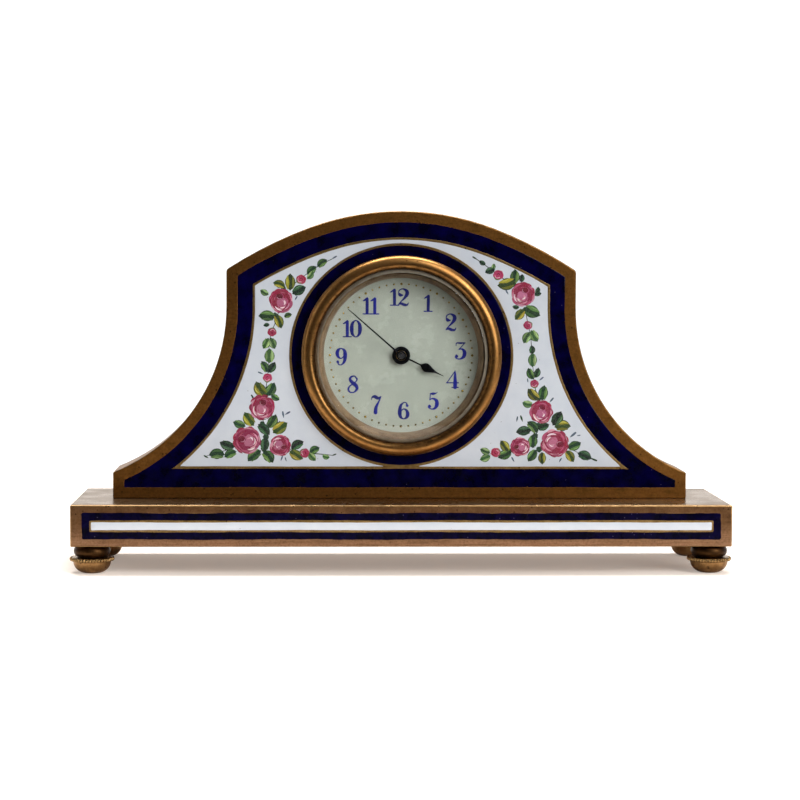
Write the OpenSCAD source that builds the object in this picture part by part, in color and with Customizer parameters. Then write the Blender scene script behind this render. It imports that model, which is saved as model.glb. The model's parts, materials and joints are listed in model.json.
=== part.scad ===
// Table clock: an arched enamelled case on a low plinth, with a back-wound lever movement.
// Sizes are in millimetres. X runs to the right, Y to the back and Z up.
// The origin is on the table, under the middle of the plinth.

/* [Plinth] */
// Width of the plinth, the widest part of the clock
plinth_w = 124; // [120:1:132]
// Depth of the plinth from front to back
plinth_d = 30; // [29:0.5:36]
// Height of the plinth without its feet
plinth_h = 7.8; // [7.4:0.1:10]
// Thickness of the plinth's walls and top
plinth_wall = 1.4; // [1.1:0.1:1.8]
// Thickness of the enamelled plate on the plinth's front
plinth_plate_t = 1.2; // [1:0.1:1.6]
// Thickness of the sheet that closes the plinth from below
bottom_t = 0.8; // [0.6:0.1:1.2]
// Bare metal at each end of the plinth's stripe
stripe_end = 2.4; // [1.6:0.1:4]
// Bare metal above and below the plinth's stripe
stripe_edge = 1.65; // [1.2:0.05:1.9]
// Width of the stripe's blue border
stripe_blue = 1.12; // [0.7:0.05:1.3]
// Width of the metal line between the stripe's two colours
stripe_fillet = 0.45; // [0.3:0.05:0.6]

/* [Feet] */
// Height of each foot below the plinth
foot_h = 5.25; // [4.8:0.05:7]
// Greatest radius of the foot's dome
foot_r = 3.55; // [3.2:0.05:3.6]
// Distance of each foot's centre from the plinth's edges
foot_inset = 3.7; // [3.6:0.1:6]
// Beads round each foot
foot_beads = 44; // [24:2:48]

/* [Case] */
// Width of the case at its foot
case_w = 110.3; // [106:0.5:114]
// Width of the case between its shoulders
shoulder_w = 66.9; // [64:0.5:70]
// Height of the case above the plinth
case_h = 55.1; // [54:0.2:58]
// Depth of the case
case_d = 13.2; // [13:0.1:15]
// Distance from the plinth's front to the case's front
case_setback = 11.8; // [6:0.1:12]
// Height of the case's upright sides at its foot
side_h = 5; // [4:0.1:6]
// Radius of the hollow flank
flank_r = 34.3; // [32:0.1:36]
// Radius of the arch's crown
crown_r = 50; // [46:0.5:54]
// Radius of the arch on either side of its crown
arch_r = 82; // [76:1:90]
// Angle from the middle of the arch to the end of its crown
crown_angle = 20.9; // [18:0.1:23]
// Rounding of the shoulders
shoulder_round = 0.9; // [0.4:0.1:1.5]
// Thickness of the case's band
case_wall = 1.2; // [0.9:0.1:1.6]
// Thickness of the case's front plate
front_t = 1.6; // [1.4:0.1:1.8]
// Thickness of the case's back plate
back_t = 1; // [0.8:0.1:1.4]

/* [Enamel] */
// Depth of the cells that hold the enamel
enamel_t = 0.6; // [0.4:0.05:0.7]
// Bare metal round the edge of the case's front
border_w = 2.2; // [1.6:0.1:2.8]
// Width of the blue border
blue_w = 2.75; // [2:0.05:3.4]
// Width of the blue border along the foot of the case
blue_foot = 3.45; // [2.6:0.05:3.6]
// Width of the metal line round the white field
fillet_w = 0.6; // [0.4:0.05:0.8]

/* [Dial] */
// Height of the dial's centre above the plinth
dial_h = 27.5; // [27:0.1:29]
// Radius of the dial that shows
dial_r = 14.75; // [14.5:0.05:14.9]
// Thickness of the dial
dial_t = 0.7; // [0.5:0.1:0.9]
// Depth of the dial's face behind the case's front
dial_depth = 2; // [1.8:0.1:2.3]
// Greatest radius of the bezel
bezel_r = 19.15; // [19:0.05:19.6]
// Height of the bezel in front of the case
bezel_h = 3; // [2.4:0.1:3.6]
// Radius of the glass
glass_r = 16.55; // [16.4:0.05:16.8]
// Thickness of the glass
glass_t = 1.6; // [1.2:0.1:1.8]
// Width of the glass's bevel
glass_bevel = 0.7; // [0.4:0.1:1]
// Greatest radius of the blue ring round the bezel
ring_r = 20.95; // [20.5:0.05:21]
// Hour that the hands show
hour_shown = 3; // [1:1:12]
// Minutes that the hands show
minutes_shown = 51.83; // [0:0.01:59]

/* [Movement] */
// Radius of the main plate
main_r = 14.6; // [14.4:0.1:14.7]
// Thickness of the main plate
main_t = 1.2; // [1:0.1:1.3]
// Space for the motion work between the dial and the main plate
motion_gap = 1.6; // [1.55:0.05:1.7]
// Space for the going train between the main plate and the bridges
train_gap = 3.2; // [3.15:0.05:3.35]
// Thickness of the bridges
bridge_t = 1; // [0.8:0.1:1.1]
// Module of the barrel's teeth
barrel_module = 0.18; // [0.176:0.002:0.182]
// Module of the centre wheel's teeth
centre_module = 0.165; // [0.162:0.001:0.168]
// Module of the third wheel's teeth
third_module = 0.13; // [0.126:0.001:0.132]
// Module of the fourth wheel's teeth
fourth_module = 0.12; // [0.118:0.001:0.122]
// Radius of the balance's rim
balance_r = 4.2; // [3.8:0.05:4.25]
// Radius of the arbors
arbor_r = 0.3; // [0.24:0.02:0.36]
// Radius of the pivots
pivot_r = 0.15; // [0.12:0.01:0.18]

/* [Door] */
// Radius of the opening in the back plate
door_hole_r = 16.2; // [15.8:0.1:16.4]
// Width of the door's flange round the opening
door_flange = 1.4; // [1:0.1:1.6]
// Depth of the door's dish behind the back plate
door_dish = 2; // [1.9:0.1:3]
// Thickness of the door
door_t = 0.7; // [0.5:0.1:0.8]
// Radius of the hinge's knuckles
knuckle_r = 1; // [0.9:0.05:1.2]
// Radius of the hinge's pin
hinge_pin_r = 0.45; // [0.35:0.05:0.55]

/* [Hidden] */

$fn = 64;
gilt = [0.62, 0.45, 0.25];
brass = [0.78, 0.64, 0.36];
cobalt = [0.03, 0.03, 0.3];
white = [0.92, 0.92, 0.94];
steel = [0.62, 0.63, 0.66];
dark_steel = [0.13, 0.13, 0.15];
ruby = [0.7, 0.08, 0.2];

// Clearances: a turning fit, a fixed fit and the air between pieces that pass each other
run_fit = 0.04;
set_fit = 0.02;
air = 0.1;
// How far a cutting shape runs past the face that it cuts
past = 0.5;

// Plinth and feet
plinth_bottom = foot_h;
plinth_top = foot_h + plinth_h;
plinth_front = -plinth_d / 2;
stripe_w = plinth_w - 2 * stripe_end;
stripe_h = plinth_h - 2 * stripe_edge;
foot_x = plinth_w / 2 - foot_inset;
foot_y = plinth_d / 2 - foot_inset;
foot_flat = 0.36;
foot_round = foot_r * (1 - foot_flat);
washer_r = foot_r + 0.3;
bead_r = 0.25;
bead_ring_r = washer_r + 0.1;
bead_ring_h = 0.7;
collar_h = foot_h - foot_round - bead_ring_h;
collar_r = foot_r - 0.1;
stud_r = 1;
stud_hold = 4;
stud_wall = 1.4;
corner_block = foot_inset + stud_r + stud_wall;

// Case, with heights above the plinth and depths behind the case's front
case_y = plinth_front + case_setback;
case_z = plinth_top;
band_back = case_d - back_t;
flank_x = shoulder_w / 2 + flank_r;
flank_z = side_h + sqrt(pow(flank_r, 2) - pow(flank_x - case_w / 2, 2));
crown_z = case_h - crown_r;
arch_x = -(arch_r - crown_r) * sin(crown_angle);
arch_z = crown_z - (arch_r - crown_r) * cos(crown_angle);
flank_steps = 22;
arch_steps = 5;
crown_steps = 7;
round_steps = 4;
field_in = border_w + blue_w + fillet_w;
field_foot = border_w + blue_foot + fillet_w;
lug_r = 1.5;
lug_bite = 0.4;
lug_in = case_wall + lug_r - lug_bite;
lug_l = 5;
lugs = [
    [case_w / 2 - lug_in, lug_in], [-case_w / 2 + lug_in, lug_in],
    [shoulder_w / 2 - lug_in, flank_z + 1], [-shoulder_w / 2 + lug_in, flank_z + 1],
    [0, case_h - lug_in]
];
back_screw_r = 0.55;
case_screw_r = 0.8;
case_screw_in = 17;
case_screw_x = case_w / 2 - case_screw_in;
case_screw_y = (front_t + band_back) / 2;
boss_r = 2.4;
boss_h = 4.2;

// Bezel, glass and dial, with depths behind the case's front
ring_inner_r = bezel_r - 0.25;
bezel_side = 1.7;
bezel_hole_r = glass_r + 1.05;
glass_seat = -bezel_h + 0.4 + glass_t;
sight_r = glass_r - 0.6;
dial_plate_r = dial_r + 0.45;
dial_hole_r = 1.2;
dial_back = dial_depth + dial_t;
main_front = dial_back + motion_gap;
main_back = main_front + main_t;
bridge_front = main_back + train_gap;
bridge_back = bridge_front + bridge_t;
holder_wall = 1.4;
holder_r = max(main_r + 0.6, dial_plate_r) + holder_wall;
holder_flange_w = 2.8;
holder_flange_r = holder_r + holder_flange_w;
holder_flange_t = 1;
holder_shelf_r = main_r - 1.3;
holder_back = main_back + 1.5;
holder_screw_at = (holder_flange_r + holder_r) / 2 + 0.6;
holder_screws = [90, 210, 330];
plate_screw_at = holder_shelf_r + 0.65;
plate_screws = [130, 225, 320];
dial_foot_r = 0.35;
dial_foot_at = holder_shelf_r - 1.3;
dial_feet = [100, 280];

// Tooth counts of the train, the motion work and the setting pinion
barrel_teeth = 72;
centre_leaves = 12;
centre_teeth = 64;
third_leaves = 8;
third_teeth = 60;
fourth_leaves = 8;
fourth_teeth = 60;
escape_leaves = 6;
escape_teeth = 15;
cannon_leaves = 12;
minute_teeth = 36;
minute_leaves = 10;
hour_teeth = 40;
ratchet_teeth = 24;

// The train is drawn for a main plate of this radius, and grows or shrinks with the plate
drawn_main_r = 14.6;
caliber = main_r / drawn_main_r;
barrel_m = caliber * barrel_module;
centre_m = caliber * centre_module;
third_m = caliber * third_module;
fourth_m = caliber * fourth_module;
motion_module = 0.15;
minute_m = caliber * motion_module;
hour_m = minute_m * (cannon_leaves + minute_teeth) / (minute_leaves + hour_teeth);
balance_rim_r = caliber * balance_r;
escape_r = 0.178 * main_r;
ratchet_r = 0.24 * main_r;
escape_to_pallet = 0.2055 * main_r;
pallet_to_balance = 0.315 * main_r;

// Directions from one arbor to the next, in degrees from the right towards the top
to_barrel = 150;
to_third = 20;
to_fourth = -60;
to_escape = 230;
to_pallet = 199.7;
to_minute = 224.4;
to_set = 202.5;

// Places of the arbors, across and above the dial's centre
barrel_at = polar(span(barrel_teeth, centre_leaves, barrel_m), to_barrel);
third_at = polar(span(centre_teeth, third_leaves, centre_m), to_third);
fourth_at = third_at + polar(span(third_teeth, fourth_leaves, third_m), to_fourth);
escape_at = fourth_at + polar(span(fourth_teeth, escape_leaves, fourth_m), to_escape);
pallet_at = escape_at + polar(escape_to_pallet, to_pallet);
balance_at = pallet_at + polar(pallet_to_balance, to_pallet);
minute_at = polar(span(cannon_leaves, minute_teeth, minute_m), to_minute);
set_at = minute_at + polar(span(minute_teeth, cannon_leaves, minute_m), to_set);
click_at = barrel_at + polar(0.37 * main_r, 35);
click_tip = barrel_at + polar(ratchet_r + 0.25, 70);
click_spring_at = click_tip + main_r * [-0.267, 0.116];

// Levels of the train, behind the case's front
centre_level = [main_back + 0.3, main_back + 0.65];
barrel_level = [main_back + 1, bridge_front - 0.2];
barrel_rim_t = 0.4;
third_level = [main_back + 1.2, main_back + 1.5];
fourth_level = [main_back + 2, main_back + 2.3];
escape_level = [main_back + 1.05, main_back + 1.3];
fork_level = [main_back + 1.05, main_back + 1.35];
roller_level = [main_back + 1.5, main_back + 1.75];
pallet_cock_level = [main_back + 1.6, main_back + 2];
balance_level = [bridge_front - 1, bridge_front - 0.6];
spring_level = [bridge_front - 0.45, bridge_front - 0.3];
jewel_t = 0.4;
jewel_r = 0.55;
ratchet_level = [bridge_back + 0.05, bridge_back + 0.45];
hand_t = 0.22;
minute_l = dial_r - 1.25;
hour_l = 0.61 * dial_r;
// Half-width of the hour hand's blade and its place along it, in shares of the hand's length
hour_hand_edge = [
    [0.016, 0.467], [0.061, 0.506], [0.091, 0.556], [0.093, 0.6], [0.069, 0.678], [0.036, 0.767],
    [0.014, 0.856], [0.006, 1]
];
centre_arbor_r = 0.4;
cannon_pipe_r = 0.62;
hour_pipe_r = 0.95;
barrel_arbor_r = 0.8;
barrel_hub_r = 1.6;
set_arbor_r = 0.5;
square_side = 1.1;
click_pin_r = 0.5;
minute_post_r = 0.4;

// Bridges: the radius that they all keep to, their feet and their screws
bridge_r = main_r - 0.9;
bridge_past = main_r + 0.4;
pillar_r = 0.85;
pillar_at = bridge_r - pillar_r - 0.05;
barrel_pillars = [98, 205];
train_pillars = [70, 25, -25];
cock_angle = atan2(balance_at[1], balance_at[0]);
cock_neck = 1.5;
cock_flare = 3.8;
timing_out = 0.3;
cock_foot_r = norm(balance_at) + balance_rim_r + timing_out + 0.27;
cock_screw_at = (cock_foot_r + bridge_r) / 2;
pallet_foot_at = pallet_at + main_r * [0.082, -0.329];
pallet_cock_w = 1.8;
hairspring_r = 0.164 * main_r;
fork_l = pallet_to_balance - 1.45;
small_screw_r = 0.35;
small_head_r = 0.65;
small_head_t = 0.4;

// Door and hinge
door_r = door_hole_r + door_flange;
hinge_x = door_r + knuckle_r + 0.3;
hinge_y = case_d + knuckle_r + 0.05;
knuckle_l = 3;
knuckle_gap = 0.1;
door_floor = case_d + door_dish - door_t;

// Point at distance r from the origin, at angle a
function polar(r, a) = r * [cos(a), sin(a)];

// Distance between the arbors of two wheels in mesh
function span(teeth_a, teeth_b, module_size) = module_size * (teeth_a + teeth_b) / 2;

// Phase of a wheel in mesh with another of a given phase, which lies in direction towards
function in_mesh(phase, teeth_a, teeth_b, towards) =
    towards + 180 + 180 / teeth_b + teeth_a / teeth_b * (towards - phase);

// Toothed outline: share is a tooth's part of the pitch, and tip and root widen or narrow it
function toothed(teeth, m, phase, share, tip, root, above, below) = [
    for (i = [0 : teeth - 1], k = [0 : 3])
        let (
            outer = k == 1 || k == 2,
            half = 180 / teeth * share * (outer ? tip : root),
            angle = phase + 360 * i / teeth + (k < 2 ? -half : half)
        )
        polar(m * (teeth / 2 + (outer ? above : -below)), angle)
];
function wheel_teeth(teeth, m, phase) = toothed(teeth, m, phase, 0.46, 0.35, 1.45, 1, 1.25);
function pinion_leaves(leaves, m, phase) = toothed(leaves, m, phase, 0.38, 0.55, 1.25, 0.75, 1.45);

// Flat strip wound from radius a to radius b
function spiral(a, b, turns, strip, steps = 24) =
    let (
        n = turns * steps,
        radius = [for (i = [0 : n]) a + (b - a) * i / n],
        angle = [for (i = [0 : n]) 360 * i / steps]
    )
    concat(
        [for (i = [0 : n]) polar(radius[i] + strip / 2, angle[i])],
        [for (i = [n : -1 : 0]) polar(radius[i] - strip / 2, angle[i])]
    );

// Right half of the case's outline, set in by o, with its foot at height foot
function right_half(o, foot) =
    let (
        r = flank_r + o,
        side_angle = acos((flank_x - case_w / 2 + o) / r),
        foot_angle = asin(min(1, (flank_z - foot) / r)),
        low = min(side_angle, foot_angle),
        arch = arch_r - o,
        edge = shoulder_w / 2 - o,
        bend = shoulder_round - o,
        rounded = bend > 0.05,
        round_r = rounded ? bend : 0,
        top = asin((edge - round_r - arch_x) / (arch - round_r)),
        bend_at = [edge - round_r, arch_z + (arch - round_r) * cos(top)]
    )
    concat(
        side_angle < foot_angle ? [[case_w / 2 - o, foot]] : [],
        [for (i = [0 : flank_steps])
            let (a = low * (1 - i / flank_steps))
            [flank_x - r * cos(a), flank_z - r * sin(a)]],
        rounded ? [for (i = [0 : round_steps - 1])
            let (a = 90 + (top - 90) * i / round_steps)
            bend_at + bend * [sin(a), cos(a)]] : [],
        [for (i = [0 : arch_steps])
            let (a = top + (crown_angle - top) * i / arch_steps)
            [arch_x + arch * sin(a), arch_z + arch * cos(a)]],
        [for (i = [1 : crown_steps])
            let (a = crown_angle * (1 - i / crown_steps))
            [(crown_r - o) * sin(a), crown_z + (crown_r - o) * cos(a)]]
    );

// Whole outline of the case, set in by o, with its foot at height foot
function outline(o, foot) =
    let (half = right_half(o, foot), n = len(half))
    concat(half, [for (i = [n - 2 : -1 : 0]) [-half[i][0], half[i][1]]]);

// Stands a flat shape upright, filling the depth from front to back
module slab(front, back)
    translate([0, back, 0]) rotate([90, 0, 0]) linear_extrude(back - front) children();

// Round rod along Y at a place across and above the origin
module rod(r, front, back, at = [0, 0])
    slab(front, back) translate(at) circle(r);

// Turns a profile of radius and depth about the Y axis
module turned() rotate([-90, 0, 0]) rotate_extrude($fn = 128) children();

module on_case() translate([0, case_y, case_z]) children();
module on_dial() translate([0, case_y, case_z + dial_h]) children();

// Places things at the four feet
module at_feet() for (x = [-foot_x, foot_x], y = [-foot_y, foot_y]) translate([x, y, 0]) children();

// Slotted screw along Y with its head at the back
module screw(shank_r, head_r, tip, seat, head_t, at)
    difference() {
        union() {
            rod(shank_r, tip, seat + head_t / 2, at);
            rod(head_r, seat, seat + head_t, at);
        }
        translate([at[0] - head_r - past, seat + head_t * 0.55, at[1] - head_r / 8])
            cube([2 * (head_r + past), head_t, head_r / 4]);
    }

// Bar with round ends between two places
module bar(a, b, width) {
    translate(a) circle(width / 2);
    translate(b) circle(width / 2);
    translate(a) rotate(atan2(b[1] - a[1], b[0] - a[0]))
        translate([0, -width / 2]) square([norm(b - a), width]);
}

// Windows between a wheel's rim and hub
module windows(rim_r, hub_r, arms, arm_w)
    difference() {
        circle(rim_r);
        circle(hub_r);
        for (i = [0 : arms - 1]) rotate(360 * i / arms)
            translate([0, -arm_w / 2]) square([rim_r + past, arm_w]);
    }

// Arbor with a pivot at each end, which reaches into both jewels
module arbor(r, front, back, front_jewel, back_jewel, at) {
    rod(r, front, back, at);
    rod(pivot_r, front_jewel, front + 0.2, at);
    rod(pivot_r, back - 0.2, back_jewel, at);
}

// Arbor that runs from the main plate to a bridge
module train_arbor(r, at)
    arbor(r, main_back + 0.1, bridge_front - 0.1, main_back - 0.35, bridge_front + 0.35, at);

// Plinth

module plinth_body() color(gilt)
    difference() {
        union() {
            difference() {
                translate([-plinth_w / 2, plinth_front + plinth_plate_t, plinth_bottom])
                    cube([plinth_w, plinth_d - plinth_plate_t, plinth_h]);
                translate([
                    -plinth_w / 2 + plinth_wall,
                    plinth_front + plinth_plate_t + plinth_wall,
                    plinth_bottom - past
                ])
                    cube([
                        plinth_w - 2 * plinth_wall,
                        plinth_d - plinth_plate_t - 2 * plinth_wall,
                        plinth_h - plinth_wall + past
                    ]);
            }
            corner_blocks();
        }
        at_feet() cylinder(r = stud_r + set_fit, h = foot_h + bottom_t + stud_hold);
        for (x = [-case_screw_x, case_screw_x])
            translate([x, case_y + case_screw_y, plinth_bottom])
                cylinder(r = case_screw_r + set_fit, h = plinth_h + past);
    }

// Blocks in the plinth's corners, which the feet screw into
module corner_blocks()
    for (i = [-1, 1], j = [-1, 1]) {
        near = j < 0 ? plinth_plate_t + plinth_wall : plinth_wall;
        size_x = corner_block - plinth_wall + 0.2;
        size_y = corner_block - near + 0.2;
        translate([
            i * (plinth_w / 2 - plinth_wall + 0.2 - size_x / 2) - size_x / 2,
            j * (plinth_d / 2 - near + 0.2 - size_y / 2) - size_y / 2,
            plinth_bottom + bottom_t
        ])
            cube([size_x, size_y, plinth_h - bottom_t - plinth_wall / 2]);
    }

// Place of the plinth's front plate, from its lower left corner
module on_plinth_front() translate([-plinth_w / 2, plinth_front, plinth_bottom]) children();

// Rectangle set in from the stripe's outer edge
module stripe(side, edge)
    translate([stripe_end + side, stripe_edge + edge])
        square([stripe_w - 2 * side, stripe_h - 2 * edge]);

module stripe_border()
    difference() {
        stripe(0, 0);
        stripe(stripe_blue, stripe_blue);
    }

module stripe_middle() stripe(stripe_blue + stripe_fillet, stripe_blue + stripe_fillet);

module plinth_front_plate() color(gilt)
    on_plinth_front() difference() {
        slab(0, plinth_plate_t) square([plinth_w, plinth_h]);
        slab(-past, enamel_t) stripe_border();
        slab(-past, enamel_t) stripe_middle();
    }

module plinth_blue_enamel() color(cobalt)
    on_plinth_front() slab(0, enamel_t) stripe_border();

module plinth_white_enamel() color(white)
    on_plinth_front() slab(0, enamel_t) stripe_middle();

module plinth_bottom_plate() color(brass)
    difference() {
        translate([
            -plinth_w / 2 + plinth_wall + set_fit,
            plinth_front + plinth_plate_t + plinth_wall + set_fit,
            plinth_bottom
        ])
            cube([
                plinth_w - 2 * (plinth_wall + set_fit),
                plinth_d - plinth_plate_t - 2 * (plinth_wall + set_fit),
                bottom_t
            ]);
        at_feet() cylinder(r = stud_r + set_fit, h = foot_h + bottom_t + past);
    }

// Turned foot: a dome that stands on its flat, a neck and a stud that screws into the plinth
module foot()
    color(gilt) {
        rotate_extrude($fn = 96) polygon(concat(
            [[0, 0]],
            [for (i = [0 : 8])
                foot_round * [sin(90 * i / 8), 1 - cos(90 * i / 8)] + [foot_r - foot_round, 0]],
            [[0, foot_round]]
        ));
        cylinder(r = stud_r, h = foot_h + bottom_t + stud_hold - past);
    }

module foot_front_left() translate([-foot_x, -foot_y, 0]) foot();
module foot_front_right() translate([foot_x, -foot_y, 0]) foot();
module foot_back_left() translate([-foot_x, foot_y, 0]) foot();
module foot_back_right() translate([foot_x, foot_y, 0]) foot();

// Washer with a beaded edge between each dome and collar
module foot_beaded_rings() color(gilt)
    at_feet() translate([0, 0, foot_round]) linear_extrude(bead_ring_h)
        difference() {
            union() {
                circle(washer_r);
                for (i = [1 : foot_beads]) rotate(360 * i / foot_beads)
                    translate([bead_ring_r, 0]) circle(bead_r, $fn = 16);
            }
            circle(stud_r + set_fit);
        }

// Round-edged collar between each beaded washer and the plinth
module foot_collars() color(gilt)
    at_feet() translate([0, 0, foot_round + bead_ring_h]) rotate_extrude($fn = 96)
        polygon(concat(
            [[stud_r + set_fit, 0]],
            [for (i = [-4 : 4])
                collar_h / 2 * [cos(90 * i / 4) - 1, 1 + sin(90 * i / 4)] + [collar_r, 0]],
            [[stud_r + set_fit, collar_h]]
        ));

// Screws from inside the plinth up into the case
module case_screws() color(steel)
    for (x = [-case_screw_x, case_screw_x])
        translate([x, case_y + case_screw_y, plinth_top - plinth_wall]) {
            translate([0, 0, -1]) cylinder(r = 2 * case_screw_r, h = 1);
            cylinder(r = case_screw_r, h = plinth_wall + boss_h - 1.2);
        }

// Case

module case_band() color(gilt)
    on_case() difference() {
        union() {
            slab(front_t, band_back) difference() {
                polygon(outline(0, 0));
                polygon(outline(case_wall, case_wall));
            }
            for (at = lugs) rod(lug_r, band_back - lug_l, band_back, at);
            for (x = [-case_screw_x, case_screw_x])
                translate([x, case_screw_y, case_wall / 2]) cylinder(r = boss_r, h = boss_h - case_wall / 2);
        }
        for (at = lugs) rod(back_screw_r + set_fit, band_back - lug_l + 1, band_back + past, at);
        for (x = [-case_screw_x, case_screw_x])
            translate([x, case_screw_y, -past]) cylinder(r = case_screw_r + set_fit, h = boss_h - 0.8 + past);
    }

module border_cell()
    difference() {
        polygon(outline(border_w, border_w));
        polygon(outline(border_w + blue_w, border_w + blue_foot));
    }

module field_cell()
    difference() {
        polygon(outline(field_in, field_foot));
        translate([0, dial_h]) circle(ring_r + fillet_w, $fn = 128);
    }

module ring_cell()
    translate([0, dial_h]) difference() {
        circle(ring_r, $fn = 128);
        circle(ring_inner_r, $fn = 128);
    }

module case_front_plate() color(gilt)
    on_case() difference() {
        slab(0, front_t) polygon(outline(0, 0));
        slab(-past, enamel_t) border_cell();
        slab(-past, enamel_t) field_cell();
        slab(-past, enamel_t) ring_cell();
        rod(bezel_hole_r, -past, front_t + past, [0, dial_h], $fn = 128);
        for (a = holder_screws)
            rod(small_screw_r + set_fit, enamel_t + 0.2, front_t + past,
                [0, dial_h] + polar(holder_screw_at, a));
    }

module border_blue_enamel() color(cobalt) on_case() slab(0, enamel_t) border_cell();
module field_white_enamel() color(white) on_case() slab(0, enamel_t) field_cell();
module ring_blue_enamel() color(cobalt) on_case() slab(0, enamel_t) ring_cell();

module case_back_plate() color(gilt) {
    on_case() difference() {
        slab(band_back, case_d) polygon(outline(0, 0));
        rod(door_hole_r, band_back - past, case_d + past, [0, dial_h], $fn = 128);
        for (at = lugs) rod(back_screw_r + set_fit, band_back - past, case_d + past, at);
    }
    on_dial() for (side = [-1, 1])
        difference() {
            middle = side * (knuckle_l + knuckle_gap);
            union() {
                translate([hinge_x, hinge_y, middle - knuckle_l / 2]) cylinder(r = knuckle_r, h = knuckle_l);
                translate([hinge_x - knuckle_r * 0.9, case_d - back_t / 2, middle - knuckle_l / 2])
                    cube([2 * knuckle_r * 0.9, hinge_y - case_d + back_t / 2, knuckle_l]);
            }
            translate([hinge_x, hinge_y, middle - knuckle_l])
                cylinder(r = hinge_pin_r + set_fit, h = 2 * knuckle_l);
        }
}

module back_plate_screws() color(steel)
    on_case() for (at = lugs)
        screw(back_screw_r, 2 * back_screw_r, case_d - 4, case_d, 0.6, at);

module hinge_pin() color(steel)
    on_dial() translate([hinge_x, hinge_y, -1.5 * knuckle_l - 0.2])
        cylinder(r = hinge_pin_r, h = 3 * knuckle_l + 0.4);

// Dished round door with a rim that snaps into the opening, a hinge tongue and a thumb tab
module back_door() color(gilt)
    on_dial() difference() {
        union() {
            turned() polygon([
                [0, door_floor], [door_hole_r - 1.6, door_floor],
                [door_hole_r - 0.8, case_d - back_t * 0.8], [door_hole_r - air, case_d - back_t * 0.8],
                [door_hole_r - air, case_d + air / 2], [door_r, case_d + air / 2],
                [door_r, case_d + door_t], [door_r - door_flange - 0.2, case_d + door_t],
                [door_hole_r - 1.2, case_d + door_dish], [0, case_d + door_dish]
            ]);
            translate([door_hole_r + 0.3, case_d + air / 2, -knuckle_l / 2])
                cube([hinge_x - door_hole_r - 0.3, door_t, knuckle_l]);
            translate([hinge_x, hinge_y, -knuckle_l / 2]) cylinder(r = knuckle_r, h = knuckle_l);
            translate([-door_r - 1.2, case_d + air / 2, -2])
                cube([2, door_t, 4]);
        }
        translate([hinge_x, hinge_y, -knuckle_l]) cylinder(r = hinge_pin_r + run_fit, h = 2 * knuckle_l);
    }

// Bezel, glass and dial

// Half-round bezel with a seat for the glass and a spigot through the front plate
module bezel() color(gilt)
    on_dial() turned() polygon(concat(
        [[sight_r + set_fit, glass_seat], [glass_r + set_fit, glass_seat]],
        [for (i = [-6 : 6])
            let (half = (bezel_r - glass_r - set_fit) / 2)
            [bezel_r - half + half * sin(15 * i), -bezel_side - (bezel_h - bezel_side) * cos(15 * i)]],
        [[bezel_r, 0], [bezel_hole_r - air / 2, 0], [bezel_hole_r - air / 2, front_t],
            [sight_r + set_fit, front_t]]
    ));

module crystal() color([0.85, 0.9, 0.92, 0.4])
    on_dial() turned() polygon([
        [0, glass_seat], [glass_r, glass_seat], [glass_r, glass_seat - glass_t + glass_bevel],
        [glass_r - glass_bevel, glass_seat - glass_t], [0, glass_seat - glass_t]
    ]);

module sight_ring() color(gilt)
    on_dial() turned() polygon([
        [sight_r, glass_seat], [sight_r, front_t], [dial_plate_r, front_t], [dial_plate_r, dial_depth],
        [dial_r, dial_depth], [sight_r - 0.4, glass_seat]
    ]);

module dial() color(white)
    on_dial() {
        slab(dial_depth, dial_back) difference() {
            circle(dial_plate_r, $fn = 128);
            circle(dial_hole_r);
        }
        for (a = dial_feet) rod(dial_foot_r, dial_back - 0.2, main_front + 0.7, polar(dial_foot_at, a));
    }

// Ring that carries the movement behind the front plate
module movement_ring() color(brass)
    on_dial() difference() {
        turned() polygon([
            [dial_plate_r + set_fit, front_t], [holder_flange_r, front_t],
            [holder_flange_r, front_t + holder_flange_t], [holder_r, front_t + holder_flange_t],
            [holder_r, holder_back], [main_r + set_fit, holder_back], [main_r + set_fit, main_front],
            [holder_shelf_r, main_front], [holder_shelf_r, dial_back], [dial_plate_r + set_fit, dial_back]
        ]);
        for (a = holder_screws)
            rod(small_screw_r + set_fit, 0, front_t + holder_flange_t + past,
                polar(holder_screw_at, a));
        for (a = plate_screws)
            rod(small_screw_r + set_fit, main_front - 1.2, holder_back, polar(plate_screw_at, a));
    }

module ring_screws() color(steel)
    on_dial() for (a = holder_screws)
        screw(small_screw_r, 0.75, enamel_t + 0.3, front_t + holder_flange_t, 0.5,
            polar(holder_screw_at, a));

// Movement plates

module main_plate() color(brass)
    on_dial() {
        difference() {
            rod(main_r, main_front, main_back, $fn = 128);
            rod(centre_arbor_r + run_fit, main_front - past, main_back + past);
            rod(barrel_arbor_r - 0.2 + run_fit, main_front - past, main_back + past, barrel_at);
            rod(set_arbor_r + run_fit, main_front - past, main_back + past, set_at);
            for (at = [third_at, fourth_at, escape_at, pallet_at, balance_at])
                rod(jewel_r + set_fit, main_back - jewel_t, main_back + past, at, $fn = 32);
            for (a = dial_feet)
                rod(dial_foot_r + set_fit, main_front - past, main_front + 0.8, polar(dial_foot_at, a));
            for (a = plate_screws)
                rod(small_screw_r + set_fit, main_front - past, main_back + past, polar(plate_screw_at, a));
            for (at = screw_places()) rod(small_screw_r + set_fit, main_back - 0.9, main_back + past, at);
        }
        rod(minute_post_r, dial_back + 0.15, main_front + 0.3, minute_at);
    }

// Places of every screw that goes through a bridge or a cock into the main plate
function screw_places() = concat(
    [for (a = concat(barrel_pillars, train_pillars)) polar(pillar_at, a)],
    [pallet_foot_at],
    [for (side = [-1, 1]) polar(cock_screw_at, cock_angle + 8 * side)]
);

module movement_screws() color(steel)
    on_dial() for (a = plate_screws)
        screw(small_screw_r, 0.6, main_front - 1, main_back, small_head_t, polar(plate_screw_at, a));

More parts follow.
